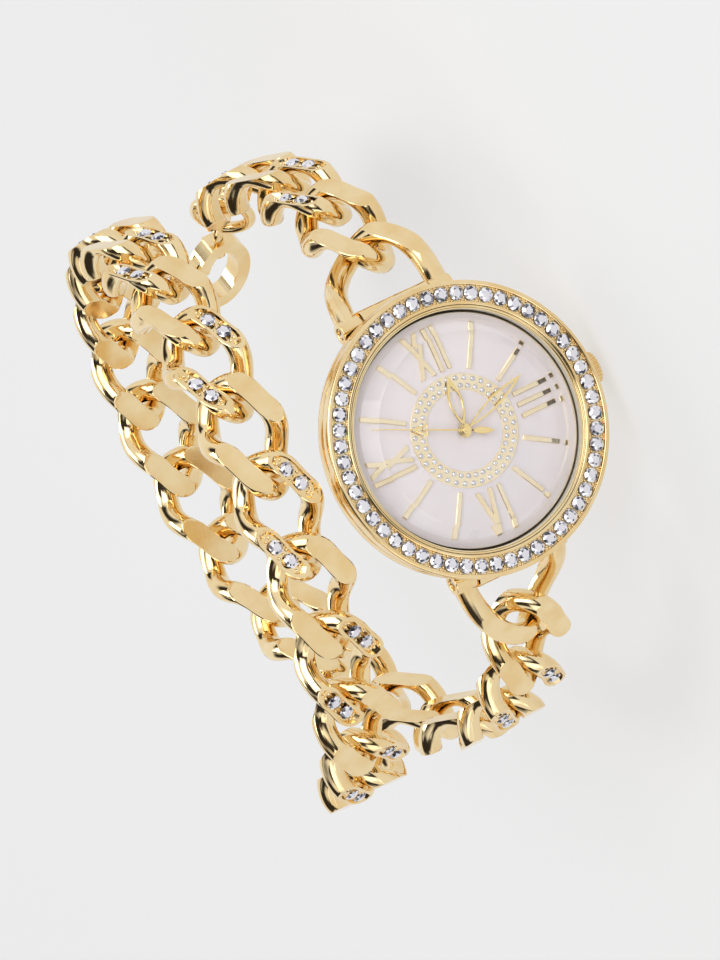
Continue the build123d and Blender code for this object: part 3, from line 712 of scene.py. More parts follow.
@dataclass
class ChainRoute:
    """Route of the two sides of the chain over the wrist, hinge by hinge.

    Attributes:
        wrist_radius: Radius of the wrist under the chain.
        link_pitch: Distance from hinge to hinge.
        link_height: Height of a link.
        first_hinge_angle: Angle of the first hinge from the case in degrees.
        lower_wrap_height: Place of the level wrap along the wrist.
        upper_wrap_height: Place of the second wrap.
        upper_wrap_bow: How far the second wrap bows.
        ramp_start_angle: Angle at which the long side's straight climb starts.
        ramp_end_angle: Angle at which it ends and the bow starts.
        bar_out: Distance of the spring bars from the middle of the case.
        bar_rise: Height of the spring bars over the wrist.
        settling_rounds: Rounds in which a hinge's angle settles.
    """

    wrist_radius: float = 35.5
    link_pitch: float = 11.0
    link_height: float = 4.6
    first_hinge_angle: float = 40.8
    lower_wrap_height: float = -2.5
    upper_wrap_height: float = 25.65
    upper_wrap_bow: float = 7.9
    ramp_start_angle: float = 60.0
    ramp_end_angle: float = 225.0
    bar_out: float = 17.4
    bar_rise: float = 1.2
    settling_rounds: int = 6

    @property
    def hinge_radius(self) -> float:
        """Distance of every hinge from the wrist axis."""
        return float(np.hypot(self.wrist_radius + self.link_height / 2, self.link_pitch / 2))

    @property
    def bar_height(self) -> float:
        """Height of the spring bars."""
        return self.wrist_radius + self.bar_rise

    def height(self, side: Side, angle: float) -> float:
        """Place along the wrist at an angle from the case.

        The long side keeps level, then climbs along a parabola and a straight ramp, and then
        bows: top - bow (1 - cos(angle - 360)).

        Args:
            side: Side of the chain.
            angle: Degrees from the case.

        Returns:
            The place along the wrist.
        """
        if side is Side.SHORT:
            return self.lower_wrap_height
        end = np.radians(self.ramp_end_angle - 360)
        slope = -self.upper_wrap_bow * np.sin(end) * np.radians(1)
        top = self.upper_wrap_height - self.upper_wrap_bow * (1 - np.cos(end))
        foot = top - slope * (self.ramp_end_angle - self.ramp_start_angle)
        blend = 2 * (foot - self.lower_wrap_height) / slope
        if angle >= self.ramp_end_angle:
            return self.upper_wrap_height - self.upper_wrap_bow * (1 - np.cos(np.radians(angle - 360)))
        if angle >= self.ramp_start_angle:
            return foot + slope * (angle - self.ramp_start_angle)
        into = max(0.0, angle - self.ramp_start_angle + blend)
        return self.lower_wrap_height + slope * into**2 / (2 * blend)

    def hinge(self, side: Side, angle: float) -> Array:
        """Hinge between two links at an angle from the case."""
        turn = np.radians(angle)
        return np.array([
            side.value * self.hinge_radius * np.sin(turn),
            -self.hinge_radius * np.cos(turn),
            self.height(side, angle),
        ])

    def angles(self, side: Side, count: int) -> list[float]:
        """Angles of the hinges at both ends of each link.

        Args:
            side: Side of the chain.
            count: Number of links.

        Returns:
            The angles in degrees, one more than the links.
        """
        angles = [self.first_hinge_angle]
        for _ in range(count):
            following = angles[-1]
            for _ in range(self.settling_rounds):
                climb = self.height(side, following) - self.height(side, angles[-1])
                level = np.sqrt(self.link_pitch**2 - climb**2)
                following = angles[-1] + np.degrees(2 * np.arcsin(level / (2 * self.hinge_radius)))
            angles.append(float(following))
        return angles

    def between(self, start: Array, end: Array) -> Place:
        """Frame between two points: X away from the case, Z away from the wrist."""
        along = end - start
        outward = np.array([start[0] + end[0], start[1] + end[1], 0.0])
        level = np.array([along[0], along[1], 0.0])
        outward = outward - level * (outward @ level) / (level @ level)
        return Place((start + end) / 2, along, outward)


def level_ring(turns: Array, radius: float, height: float) -> Array:
    """Points at the given turns on a level circle."""
    return np.stack([radius * np.cos(turns), radius * np.sin(turns), np.full(len(turns), height)], 1)


def spread(fine: Array, points: Array, stations: int, closed: bool) -> Array:
    """Spread stations evenly by length along a line.

    Args:
        fine: Close parameters of the line.
        points: Its points there.
        stations: Number of stations.
        closed: Whether the line's end is its start, so that no station lies on it.

    Returns:
        The parameters of the stations.
    """
    run = np.concatenate([[0], np.cumsum(np.linalg.norm(np.diff(points, axis=0), axis=1))])
    return np.interp(np.linspace(0, run[-1], stations, endpoint=not closed), run, fine)


def brilliant(surface: Surface, place: Place, diameter: float, height: float, seed: int) -> None:
    """Append a round brilliant: table, stars, kites, upper girdle and pavilion facets.

    Rings of 8, 8 and 16 points lie at the table, half way down the crown and at the girdle, the
    middle one turned by a sixteenth, and the pavilion closes in the culet.

    Args:
        surface: The piece.
        place: Frame that the stone stands on by its point.
        diameter: Diameter at the girdle.
        height: Height from culet to table.
        seed: Seed of the facets' painted reflection tones.
    """
    radius = diameter / 2
    girdle = GIRDLE_SHARE * height
    crown = girdle + STAR_HEIGHT_SHARE * (height - girdle)
    eighth = np.arange(8) * np.pi / 4
    points = np.vstack([
        level_ring(eighth, TABLE_SHARE * radius, height),
        level_ring(eighth + np.pi / 8, STAR_SHARE * radius, crown),
        level_ring(np.arange(16) * np.pi / 8, radius, girdle),
        [[0, 0, 0]],
    ])
    faces: list[tuple] = [tuple(range(8))]
    for i in range(8):
        j, before = (i + 1) % 8, (i - 1) % 8
        faces += [
            (i, 8 + i, j),
            (i, 8 + before, 16 + 2 * i, 8 + i),
            (8 + i, 16 + 2 * i, 17 + 2 * i),
            (8 + i, 17 + 2 * i, 16 + 2 * j),
            (16 + 2 * i, 32, 17 + 2 * i),
            (17 + 2 * i, 32, 16 + 2 * j),
        ]
    # A random painted reflection tone for each facet; the table gets a fixed one.
    tones = np.random.default_rng(seed).uniform(0, 1, len(faces)) ** FACET_REFLECTION_POWER
    tones[0] = TABLE_REFLECTION_TONE
    surface.add(place.put(points), faces, tones)


@dataclass
class FlattenedWire:
    """Round wire carried along a line and cut flat above and below.

    Attributes:
        wire: Diameter of the wire.
        height: Distance between the two flats.
        edge: Width of the soft edge round each flat.
        border: Width of the border round a stone recess.
        depth: Depth of the recess.
        wall: Width of the recess's wall.
        least_floor: Half width from which a floor is cut.
        lowest_share: Lowest place of a flat, as a share of the radius.
        highest_share: Highest place of a flat, over which the wire stays round.
        edge_share: Most of a narrow flat that its soft edge takes.
        wall_share: Width of the wall's points where no recess is cut, as a share of the flat.
        side_points: Points on each round side.
    """

    wire: float = 3.0
    height: float = 4.6
    edge: float = 0.09
    border: float = 0.42
    depth: float = 0.5
    wall: float = 0.08
    least_floor: float = 0.3
    lowest_share: float = -0.97
    highest_share: float = 0.985
    edge_share: float = 0.4
    wall_share: float = 0.05
    side_points: int = 13

    def flat(self, lift: Array, recess: bool) -> tuple:
        """Points across one flat: border, wall, floor, wall and border.

        Args:
            lift: Distance from the middle line to the flat at each station.
            recess: Whether the flat has a stone recess.

        Returns:
            Distances across and up, depths below the flat, the angle at which the round side ends
            and the angle of the soft edge.
        """
        radius = self.wire / 2
        share = np.clip(lift / radius, self.lowest_share, self.highest_share)
        half = radius * np.sqrt(1 - share**2)
        cut = lift < radius * self.highest_share
        soft = np.where(cut, np.minimum(self.edge, self.edge_share * half), 0.0)
        inner = half - soft
        floor_half = np.sqrt(np.maximum(half**2 - (radius**2 - (radius - self.border) ** 2), 0))
        deep = (floor_half > self.least_floor) & cut & recess
        hole = np.where(deep, np.minimum(floor_half, inner - self.wall), inner / 2)
        wall = np.where(deep, self.wall, self.wall_share * inner)
        border = [inner, (inner + hole) / 2, hole]
        floor = [(hole - wall) * step for step in FLOOR_SHARES]
        x = np.stack(border + floor + [-width for width in reversed(border)], 1)
        y = np.minimum(np.sqrt(np.maximum(radius**2 - x**2, 0)), np.where(cut, lift, np.inf)[:, None])
        sunk = np.array([0] * len(border) + [1] * len(floor) + [0] * len(border))
        drop = sunk[None] * np.where(deep, self.depth, 0.0)[:, None]
        return x, y, drop, np.arcsin(share), soft / radius

    def surface(self, line: Array, ways: Array, closed: bool, recess: bool) -> Surface:
        """Skin of the wire.

        A section stands square to the line, its points at centre + x across + y up, on a circle
        of the wire's radius, and where the circle passes a flat, y stops at the flat.

        Args:
            line: Middle line, of shape (n, 3), in the link's frame.
            ways: Its directions.
            closed: Whether the line joins up.
            recess: Whether the upper flats have a stone recess.

        Returns:
            The skin.
        """
        radius = self.wire / 2
        across = unit(np.cross([0.0, 0.0, 1.0], ways))
        up = np.cross(ways, across)
        (x_top, y_top, drop, top_angle, top_soft), (x_low, y_low, _, low_angle, low_soft) = (
            self.flat((self.height / 2 - sign * line[:, 2]) / up[:, 2], sunk)
            for sign, sunk in ((1, recess), (-1, False))
        )
        t = np.linspace(0, 1, self.side_points)[None]
        right = (low_soft - low_angle)[:, None] * (1 - t) + (top_angle - top_soft)[:, None] * t
        left = np.pi - right[:, ::-1]
        x = np.concatenate([radius * np.cos(right), x_top, radius * np.cos(left), -x_low], 1)
        y = np.concatenate(
            [radius * np.sin(right), y_top - drop / up[:, 2:3], radius * np.sin(left), -y_low], 1
        )
        points = line[:, None] + x[..., None] * across[:, None] + y[..., None] * up[:, None]
        skin = Surface()
        skin.grid(points, around=True, closed=closed, flip=True)
        if not closed:
            skin.fan(points[0], line[0], flip=True)
            skin.fan(points[-1], line[-1])
        return skin


@dataclass
class CurbLink:
    """One curb link: an oval with square shoulders, twisted about the chain, with flats.

    Attributes:
        reach: Half length of the middle line.
        width: Outer width.
        twist: Turn of the ends in degrees.
        rate: How soon the twist is reached.
        power: Power of the oval.
        stations: Sections round the link.
        fine_steps: Steps by which the line is measured.
        seam: Parameter of the first station.
        near: Parameter step by which a direction is measured.
        stone_diameter: Diameter of its stones.
        stone_height: Their height.
        stone_spacing: Distance between the two stones of a recess.
        recess_along: Place of each recess along the link.
        recess_across: Its place across the link.
        recess_turn: Its direction in degrees from the link's.
        wire: The flattened wire.
    """

    reach: float = 7.25
    width: float = 11.8
    twist: float = 44.0
    rate: float = 2.8
    power: float = 2.4
    stations: int = 224
    fine_steps: int = 6001
    seam: float = 1e-4
    near: float = 0.002
    stone_diameter: float = 1.9
    stone_height: float = 0.8
    stone_spacing: float = 2.6
    recess_along: float = 4.15
    recess_across: float = 2.8
    recess_turn: float = 25.0
    wire: FlattenedWire = field(default_factory=FlattenedWire)

    def line(self, s: Array) -> Array:
        """Middle line at parameters s.

        along = reach sgn(cos s)|cos s|^(2/power), across likewise with sin s, and the point turns
        about the chain by twist tanh(rate along / reach) / tanh(rate).

        Args:
            s: Parameters from 0 to 2 pi.

        Returns:
            Points in the link's frame.
        """
        along = self.reach * np.sign(np.cos(s)) * np.abs(np.cos(s)) ** (2 / self.power)
        half = (self.width - self.wire.wire) / 2
        across = half * np.sign(np.sin(s)) * np.abs(np.sin(s)) ** (2 / self.power)
        turn = np.radians(self.twist) * np.tanh(self.rate * along / self.reach) / np.tanh(self.rate)
        return np.stack([along, across * np.cos(turn), -across * np.sin(turn)], axis=-1)

    def surface(self, stones: bool) -> Surface:
        """Skin of the link in its own frame.

        Args:
            stones: Whether its upper flats have a recess.

        Returns:
            The skin.
        """
        fine = np.linspace(0, 2 * np.pi, self.fine_steps) + self.seam
        s = spread(fine, self.line(fine), self.stations, closed=True)
        ways = unit(self.line(s + self.near) - self.line(s - self.near))
        return self.wire.surface(self.line(s), ways, closed=True, recess=stones)

    def recess_places(self) -> list[Place]:
        """Frames of the two recess floors in the link's frame."""
        turn = np.radians(self.recess_turn)
        floor = self.wire.height / 2 - self.wire.depth
        return [
            Place([way * self.recess_along, -way * self.recess_across, floor],
                  [np.cos(turn), np.sin(turn), 0], [0, 0, 1])
            for way in (1, -1)
        ]


@dataclass
class Chain:
    """Both sides of the bracelet with their stones.

    Attributes:
        route: Route of the hinges.
        link: Shape of the links.
        long_links: Number of links on the long side.
        short_links: Number of links on the short side.
        stone_lift: Gap under a stone.
        grain_radius: Radius of the grains round the stones.
        grain_height: Their height.
        grain_spots: Their places along and across each recess.
        link_seed: Step of the stones' seeds from link to link.
        recess_seed: Step of the seeds from recess to recess.
    """

    route: ChainRoute = field(default_factory=ChainRoute)
    link: CurbLink = field(default_factory=CurbLink)
    long_links: int = 25
    short_links: int = 4
    stone_lift: float = 0.02
    grain_radius: float = 0.24
    grain_height: float = 0.34
    grain_spots: tuple = (
        (0, 0.75), (0, -0.75), (0.1, 0.0),
        (2.65, 0.3), (2.75, -0.35), (3.2, 0.0), (-2.65, -0.3), (-2.75, 0.35), (-3.2, 0.0),
    )
    link_seed: int = 100
    recess_seed: int = 7

    def build(self, finishes: Finishes) -> None:
        """Make every link and its stones.

        Args:
            finishes: Materials of the watch.
        """
        skins = {stones: self.link.surface(stones) for stones in (False, True)}
        for side, name, count in (
            (Side.LONG, "long_side_link", self.long_links),
            (Side.SHORT, "short_side_link", self.short_links),
        ):
            angles = self.route.angles(side, count)
            for index in range(count):
                start, end = (self.route.hinge(side, angle) for angle in angles[index:index + 2])
                place = self.route.between(start, end)
                stones = index % 2 == 1
                body = f"{name}_{index + 1:02d}"
                node = body + ("_stones" if stones else "")
                skin = skins[stones]
                placed = Surface(place.put(skin.vertices), skin.faces, skin.tones)
                finished(f"{body}_gold", placed, finishes.gold, "polished_gold", body, replaces=[node])
                if stones:
                    seed = self.link_seed * index + (side is Side.SHORT)
                    self.dress(place, body, seed, finishes)

    def dress(self, place: Place, body: str, seed: int, finishes: Finishes) -> None:
        """Set the four stones and the small grains of one link.

        Args:
            place: Frame of the link.
            body: Body of the link.
            seed: Seed of the facets' painted reflection tones.
            finishes: Materials of the watch.
        """
        link = self.link
        stones, grains = Surface(), Surface()
        for number, floor in enumerate(link.recess_places()):
            for way in (1, -1):
                own = self.within(place, floor, [way * link.stone_spacing / 2, 0, self.stone_lift])
                own_seed = seed + self.recess_seed * number + way
                brilliant(stones, own, link.stone_diameter, link.stone_height, own_seed)
            for along, across in self.grain_spots:
                own = self.within(place, floor, [along, across, 0.0])
                dome(grains, own, self.grain_radius, self.grain_height)
        finished(f"{body}_stones", stones, finishes.crystal, "crystal", body, smooth=0)
        finished(f"{body}_grains", grains, finishes.bright_gold, "polished_gold", body, smooth=60)

    @staticmethod
    def within(place: Place, floor: Place, spot: Sequence[float]) -> Place:
        """Frame of the model at a spot of a recess.

        Args:
            place: Frame of the link.
            floor: Frame of the recess in the link's frame.
            spot: The spot in the recess's frame.

        Returns:
            The frame, its X along the recess.
        """
        along = floor.x @ np.stack([place.x, place.y, place.z])
        return Place(place.put(floor.put(np.array(spot))), along, place.z)


@dataclass
class EndLinks:
    """The two horseshoes on the spring bars.

    Attributes:
        route: Route of the hinges.
        wire: The flattened wire.
        width: Outer width.
        overreach: Length past the first hinge.
        twist: Turn of the far end in degrees.
        power: Power of the oval.
        eye_radius: Outer radius of the eyes.
        bore_radius: Radius of their bores.
        eye_edge: Size of the eyes' rounded edges.
        eye_turns: Steps round an eye.
        stations: Sections along the horseshoe.
        fine_steps: Steps by which the line is measured.
        seam: Parameter of the first station.
        near: Parameter step by which a direction is measured.
    """

    route: ChainRoute = field(default_factory=ChainRoute)
    wire: FlattenedWire = field(default_factory=lambda: FlattenedWire(height=4.8, edge=0.12))
    width: float = 16.5
    overreach: float = 2.0
    twist: float = 44.0
    power: float = 2.4
    eye_radius: float = 1.5
    bore_radius: float = 0.8
    eye_edge: float = 0.15
    eye_turns: int = 48
    stations: int = 200
    fine_steps: int = 4001
    seam: float = 1e-3
    near: float = 5e-4

    def line(self, s: Array, reach: float, bar_way: Array) -> Array:
        """Middle line of a horseshoe whose legs start on the bar.

        With rise = |sin s|^(2/power) and swing = sgn(cos s)|cos s|^(2/power), a leg stands at
        swing times half the width along the bar, its share along the chain fades with the rise,
        and the point turns about the chain by twist rise^2.

        Args:
            s: Parameters from 0 to pi.
            reach: Length of the horseshoe.
            bar_way: The bar's direction along and across the chain.

        Returns:
            Points in the link's frame.
        """
        rise = np.abs(np.sin(s)) ** (2 / self.power)
        swing = np.sign(np.cos(s)) * np.abs(np.cos(s)) ** (2 / self.power)
        half = (self.width - self.wire.wire) / 2
        along = reach * rise + bar_way[0] * swing * half * (1 - rise)
        across = bar_way[1] * swing * half
        turn = np.radians(self.twist) * rise**2
        return np.stack([along, across * np.cos(turn), -across * np.sin(turn)], axis=-1)

    def build(self, finishes: Finishes) -> None:
        """Make both end links.

        Args:
            finishes: Materials of the watch.
        """
        for side, name in ((Side.SHORT, "end_link_twelve"), (Side.LONG, "end_link_six")):
            bar = np.array([side.value * self.route.bar_out, -self.route.bar_height, 0.0])
            first = self.route.hinge(side, self.route.first_hinge_angle)
            frame = self.route.between(bar, first)
            place = Place(bar, frame.x, frame.z)
            reach = float(np.linalg.norm(first - bar)) + self.overreach
            bar_way = np.array([place.x[2], place.y[2]])
            fine = np.linspace(self.seam, np.pi - self.seam, self.fine_steps)
            s = spread(fine, self.line(fine, reach, bar_way), self.stations, closed=False)
            before, after = (self.line(s + step, reach, bar_way) for step in (-self.near, self.near))
            ways = unit(after - before)
            ways[0], ways[-1] = [1, 0, 0], [-1, 0, 0]
            skin = self.wire.surface(self.line(s, reach, bar_way), ways, closed=False, recess=False)
            link = Surface(place.put(skin.vertices), skin.faces, skin.tones)
            for way in (1, -1):
                self.eye(link, bar, way)
            finished(f"{name}_gold", link, finishes.gold, "polished_gold", name, replaces=[name])

    def eye(self, link: Surface, bar: Array, way: int) -> None:
        """Append the eye of one leg, a short tube round the spring bar.

        Args:
            link: The end link.
            bar: Middle of the spring bar.
            way: Sign of Z of the leg.
        """
        leg = (self.width - self.wire.wire) / 2
        low, high = leg - self.wire.wire / 2, leg + self.wire.wire / 2
        outline = rounded([
            (self.bore_radius, low), (self.eye_radius, low),
            (self.eye_radius, high), (self.bore_radius, high),
        ], self.eye_edge)
        turn = np.linspace(0, 2 * np.pi, self.eye_turns, endpoint=False)[:, None]
        points = np.stack([
            bar[0] + outline[:, 0] * np.cos(turn), bar[1] + outline[:, 0] * np.sin(turn),
            way * outline[:, 1] + 0 * turn,
        ], axis=-1)
        link.grid(points, around=True, closed=True, flip=way > 0)


# head


@dataclass
class HeadHeights:
    """Heights of the head's pieces over the wrist axis.

    Attributes:
        rim: Top of the case's rim.
        neck_top: Top of the case's neck, where the lens sits.
        bezel_top: Top of the bezel.
        channel_floor: Floor of the stone channel.
        dial_floor: Underside of the dial.
        dial_top: Face of the dial.
        surround: Top of the ring round the dial.
        hour_hand: Underside of the hour hand.
        minute_hand: Underside of the minute hand.
        second_hand: Underside of the second hand.
        lens_top: Top of the lens.
    """

    rim: float = 41.0
    neck_top: float = 41.8
    bezel_top: float = 43.45
    channel_floor: float = 42.85
    dial_floor: float = 40.2
    dial_top: float = 40.6
    surround: float = 41.75
    hour_hand: float = 41.0
    minute_hand: float = 41.25
    second_hand: float = 41.5
    lens_top: float = 44.4


def turned_piece(name: str, outline: Array, material: bpy.types.Material, slot: str,
                 turns: int = 192, closed: bool = True, **options: object) -> None:
    """Make a turned piece of the head.

    Args:
        name: Name of the piece.
        outline: Its outline as radius and height.
        material: Its material.
        slot: Its material slot.
        turns: Steps round it.
        closed: Whether the outline joins up.
        options: Smoothing angle and the nodes that it takes the place of.
    """
    surface = Surface()
    turned(surface, outline, turns, closed)
    finished(name, surface, material, slot, "watch_head", **options)


@dataclass
class Bezel:
    """Bezel with its stones, grains and channel, and the lens.

    Attributes:
        heights: Heights of the head.
        rim_radius: Radius of the case's rim.
        neck_radius: Radius of the case's neck.
        bezel_radius: Outer radius.
        opening_radius: Radius of the opening for the lens.
        channel_inner: Inner radius of the stone channel.
        channel_outer: Its outer radius.
        stone_count: Number of stones.
        stone_diameter: Their diameter.
        stone_height: Their height.
        stone_lift: Gap under a stone.
        stone_seed: Seed of the first stone.
        grain_radius: Radius of the grains between the stones.
        grain_height: Their height.
        grain_lift: Height of their foot over the floor.
        grain_spots: Their places, outward from the stone circle and as a share of the pitch.
        lining_inset: Gap between the channel's walls and its lining.
        lining_half: Half thickness of the lining.
        wall_gap: Gap on both sides of the ring round the lens.
        wall_drop: Distance from the bezel's top down to that ring.
        lens_radius: Radius of the lens.
        lens_top_radius: Radius of its flat top.
        lens_edge: Height of its upright edge.
        fine_turns: Steps round the bezel and the lens.
    """

    heights: HeadHeights = field(default_factory=HeadHeights)
    rim_radius: float = 18.55
    neck_radius: float = 16.0
    bezel_radius: float = 19.0
    opening_radius: float = 15.5
    channel_inner: float = 16.2
    channel_outer: float = 18.5
    stone_count: int = 54
    stone_diameter: float = 1.84
    stone_height: float = 0.68
    stone_lift: float = 0.02
    stone_seed: int = 1000
    grain_radius: float = 0.19
    grain_height: float = 0.42
    grain_lift: float = 0.05
    grain_spots: tuple = (
        (-0.93, 0.36), (-0.93, 0.64), (0.93, 0.36), (0.93, 0.64), (-0.55, 0.5), (0.55, 0.5),
    )
    lining_inset: float = 0.11
    lining_half: float = 0.05
    wall_gap: float = 0.01
    wall_drop: float = 0.4
    lens_radius: float = 15.35
    lens_top_radius: float = 12.6
    lens_edge: float = 0.15
    fine_turns: int = 256

    def build(self, finishes: Finishes) -> None:
        """Make the pieces.

        Args:
            finishes: Materials of the watch.
        """
        self.bezel(finishes)
        self.stones(finishes)
        self.channel(finishes)
        self.lens(finishes)

    def bezel(self, finishes: Finishes) -> None:
        """Make the bezel: a thick rim, the stone channel and a thin double inner rim."""
        h, inner, outer = self.heights, self.channel_inner, self.channel_outer
        outline = rounded([
            (self.neck_radius + 0.05, h.neck_top), (self.neck_radius + 0.05, h.rim),
            (self.rim_radius, h.rim), (self.rim_radius, h.rim + 0.4),
            (self.bezel_radius, h.rim + 0.65), (self.bezel_radius, h.bezel_top - 0.16),
            (self.bezel_radius - 0.16, h.bezel_top), (outer + 0.05, h.bezel_top - 0.02),
            (outer - 0.1, h.channel_floor + 0.5), (outer - 0.12, h.channel_floor),
            (inner + 0.12, h.channel_floor), (inner + 0.1, h.channel_floor + 0.5),
            (inner - 0.02, h.bezel_top - 0.05), (inner - 0.2, h.bezel_top),
            (inner - 0.34, h.bezel_top - 0.1), (inner - 0.42, h.bezel_top - 0.24),
            (self.opening_radius + 0.1, h.bezel_top - 0.24),
            (self.opening_radius, h.bezel_top - 0.34), (self.opening_radius, h.neck_top),
        ], 0.07, 3)
        turned_piece("bezel_gold", outline, finishes.gold, "polished_gold", self.fine_turns,
                     smooth=22, replaces=["bezel"])

    def stones(self, finishes: Finishes) -> None:
        """Set the brilliants in the channel, with six grains between each two."""
        circle = (self.channel_inner + self.channel_outer) / 2
        stones, grains = Surface(), Surface()
        pitch = 360 / self.stone_count
        for index in range(self.stone_count):
            spot = self.floor_place(index * pitch, circle, self.stone_lift)
            brilliant(stones, spot, self.stone_diameter, self.stone_height, self.stone_seed + index)
            for outward, turn in self.grain_spots:
                spot = self.floor_place((index + turn) * pitch, circle + outward, self.grain_lift)
                dome(grains, spot, self.grain_radius, self.grain_height)
        finished("bezel_brilliants", stones, finishes.crystal, "crystal", "watch_head", smooth=0,
                 replaces=["bezel_stones"])
        finished("bezel_grains", grains, finishes.bright_gold, "polished_gold", "watch_head", smooth=60)

    def floor_place(self, turn: float, radius: float, lift: float) -> Place:
        """Frame at a spot over the channel's floor, with Z out of the dial."""
        place = dial_place(self.heights.channel_floor, turn)
        return Place(place.put(np.array([radius, 0, lift])), place.x, place.z)

    def channel(self, finishes: Finishes) -> None:
        """Line the channel under the stones, and the wall round the lens."""
        h = self.heights
        inner, outer = self.channel_inner + self.lining_inset, self.channel_outer - self.lining_inset
        low, high = h.channel_floor - self.lining_half, h.channel_floor + self.lining_half
        lining = Surface()
        turned(lining, np.array([(inner, high), (inner, low), (outer, low), (outer, high)]))
        inner, outer = self.lens_radius + self.wall_gap, self.opening_radius - self.wall_gap
        low, high = h.neck_top + 0.05, h.bezel_top - self.wall_drop
        turned(lining, np.array([(inner, high), (inner, low), (outer, low), (outer, high)]))
        finished("bezel_channel", lining, finishes.lining, "polished_gold", "watch_head", smooth=60)

    def lens(self, finishes: Finishes) -> None:
        """Make the lens: flat below, a wide bevel and a flat top."""
        h, radius, top = self.heights, self.lens_radius, self.lens_top_radius
        edge = h.neck_top + self.lens_edge
        outline = np.array([
            (0, h.neck_top), (radius - 0.06, h.neck_top), (radius, h.neck_top + 0.06),
            (radius, edge - 0.03), (radius - 0.03, edge),
            (top + 0.12, h.lens_top - 0.12), (top - 0.08, h.lens_top), (0, h.lens_top),
        ])
        turned_piece("lens_glass_piece", outline, finishes.glass, "lens_glass", self.fine_turns,
                     closed=False, smooth=8, replaces=["lens"])


@dataclass(frozen=True)
class LeafHand:
    """An open leaf hand with a disc at its middle.

    Attributes:
        name: Hour or minute.
        body: Body that it turns with.
        height: Height of its underside.
        angle: Its turn from twelve in degrees.
        length: Length from the middle.
        width: Width of the leaf.
        hub: Radius of the disc.
    """

    name: str
    body: str
    height: float
    angle: float
    length: float
    width: float
    hub: float


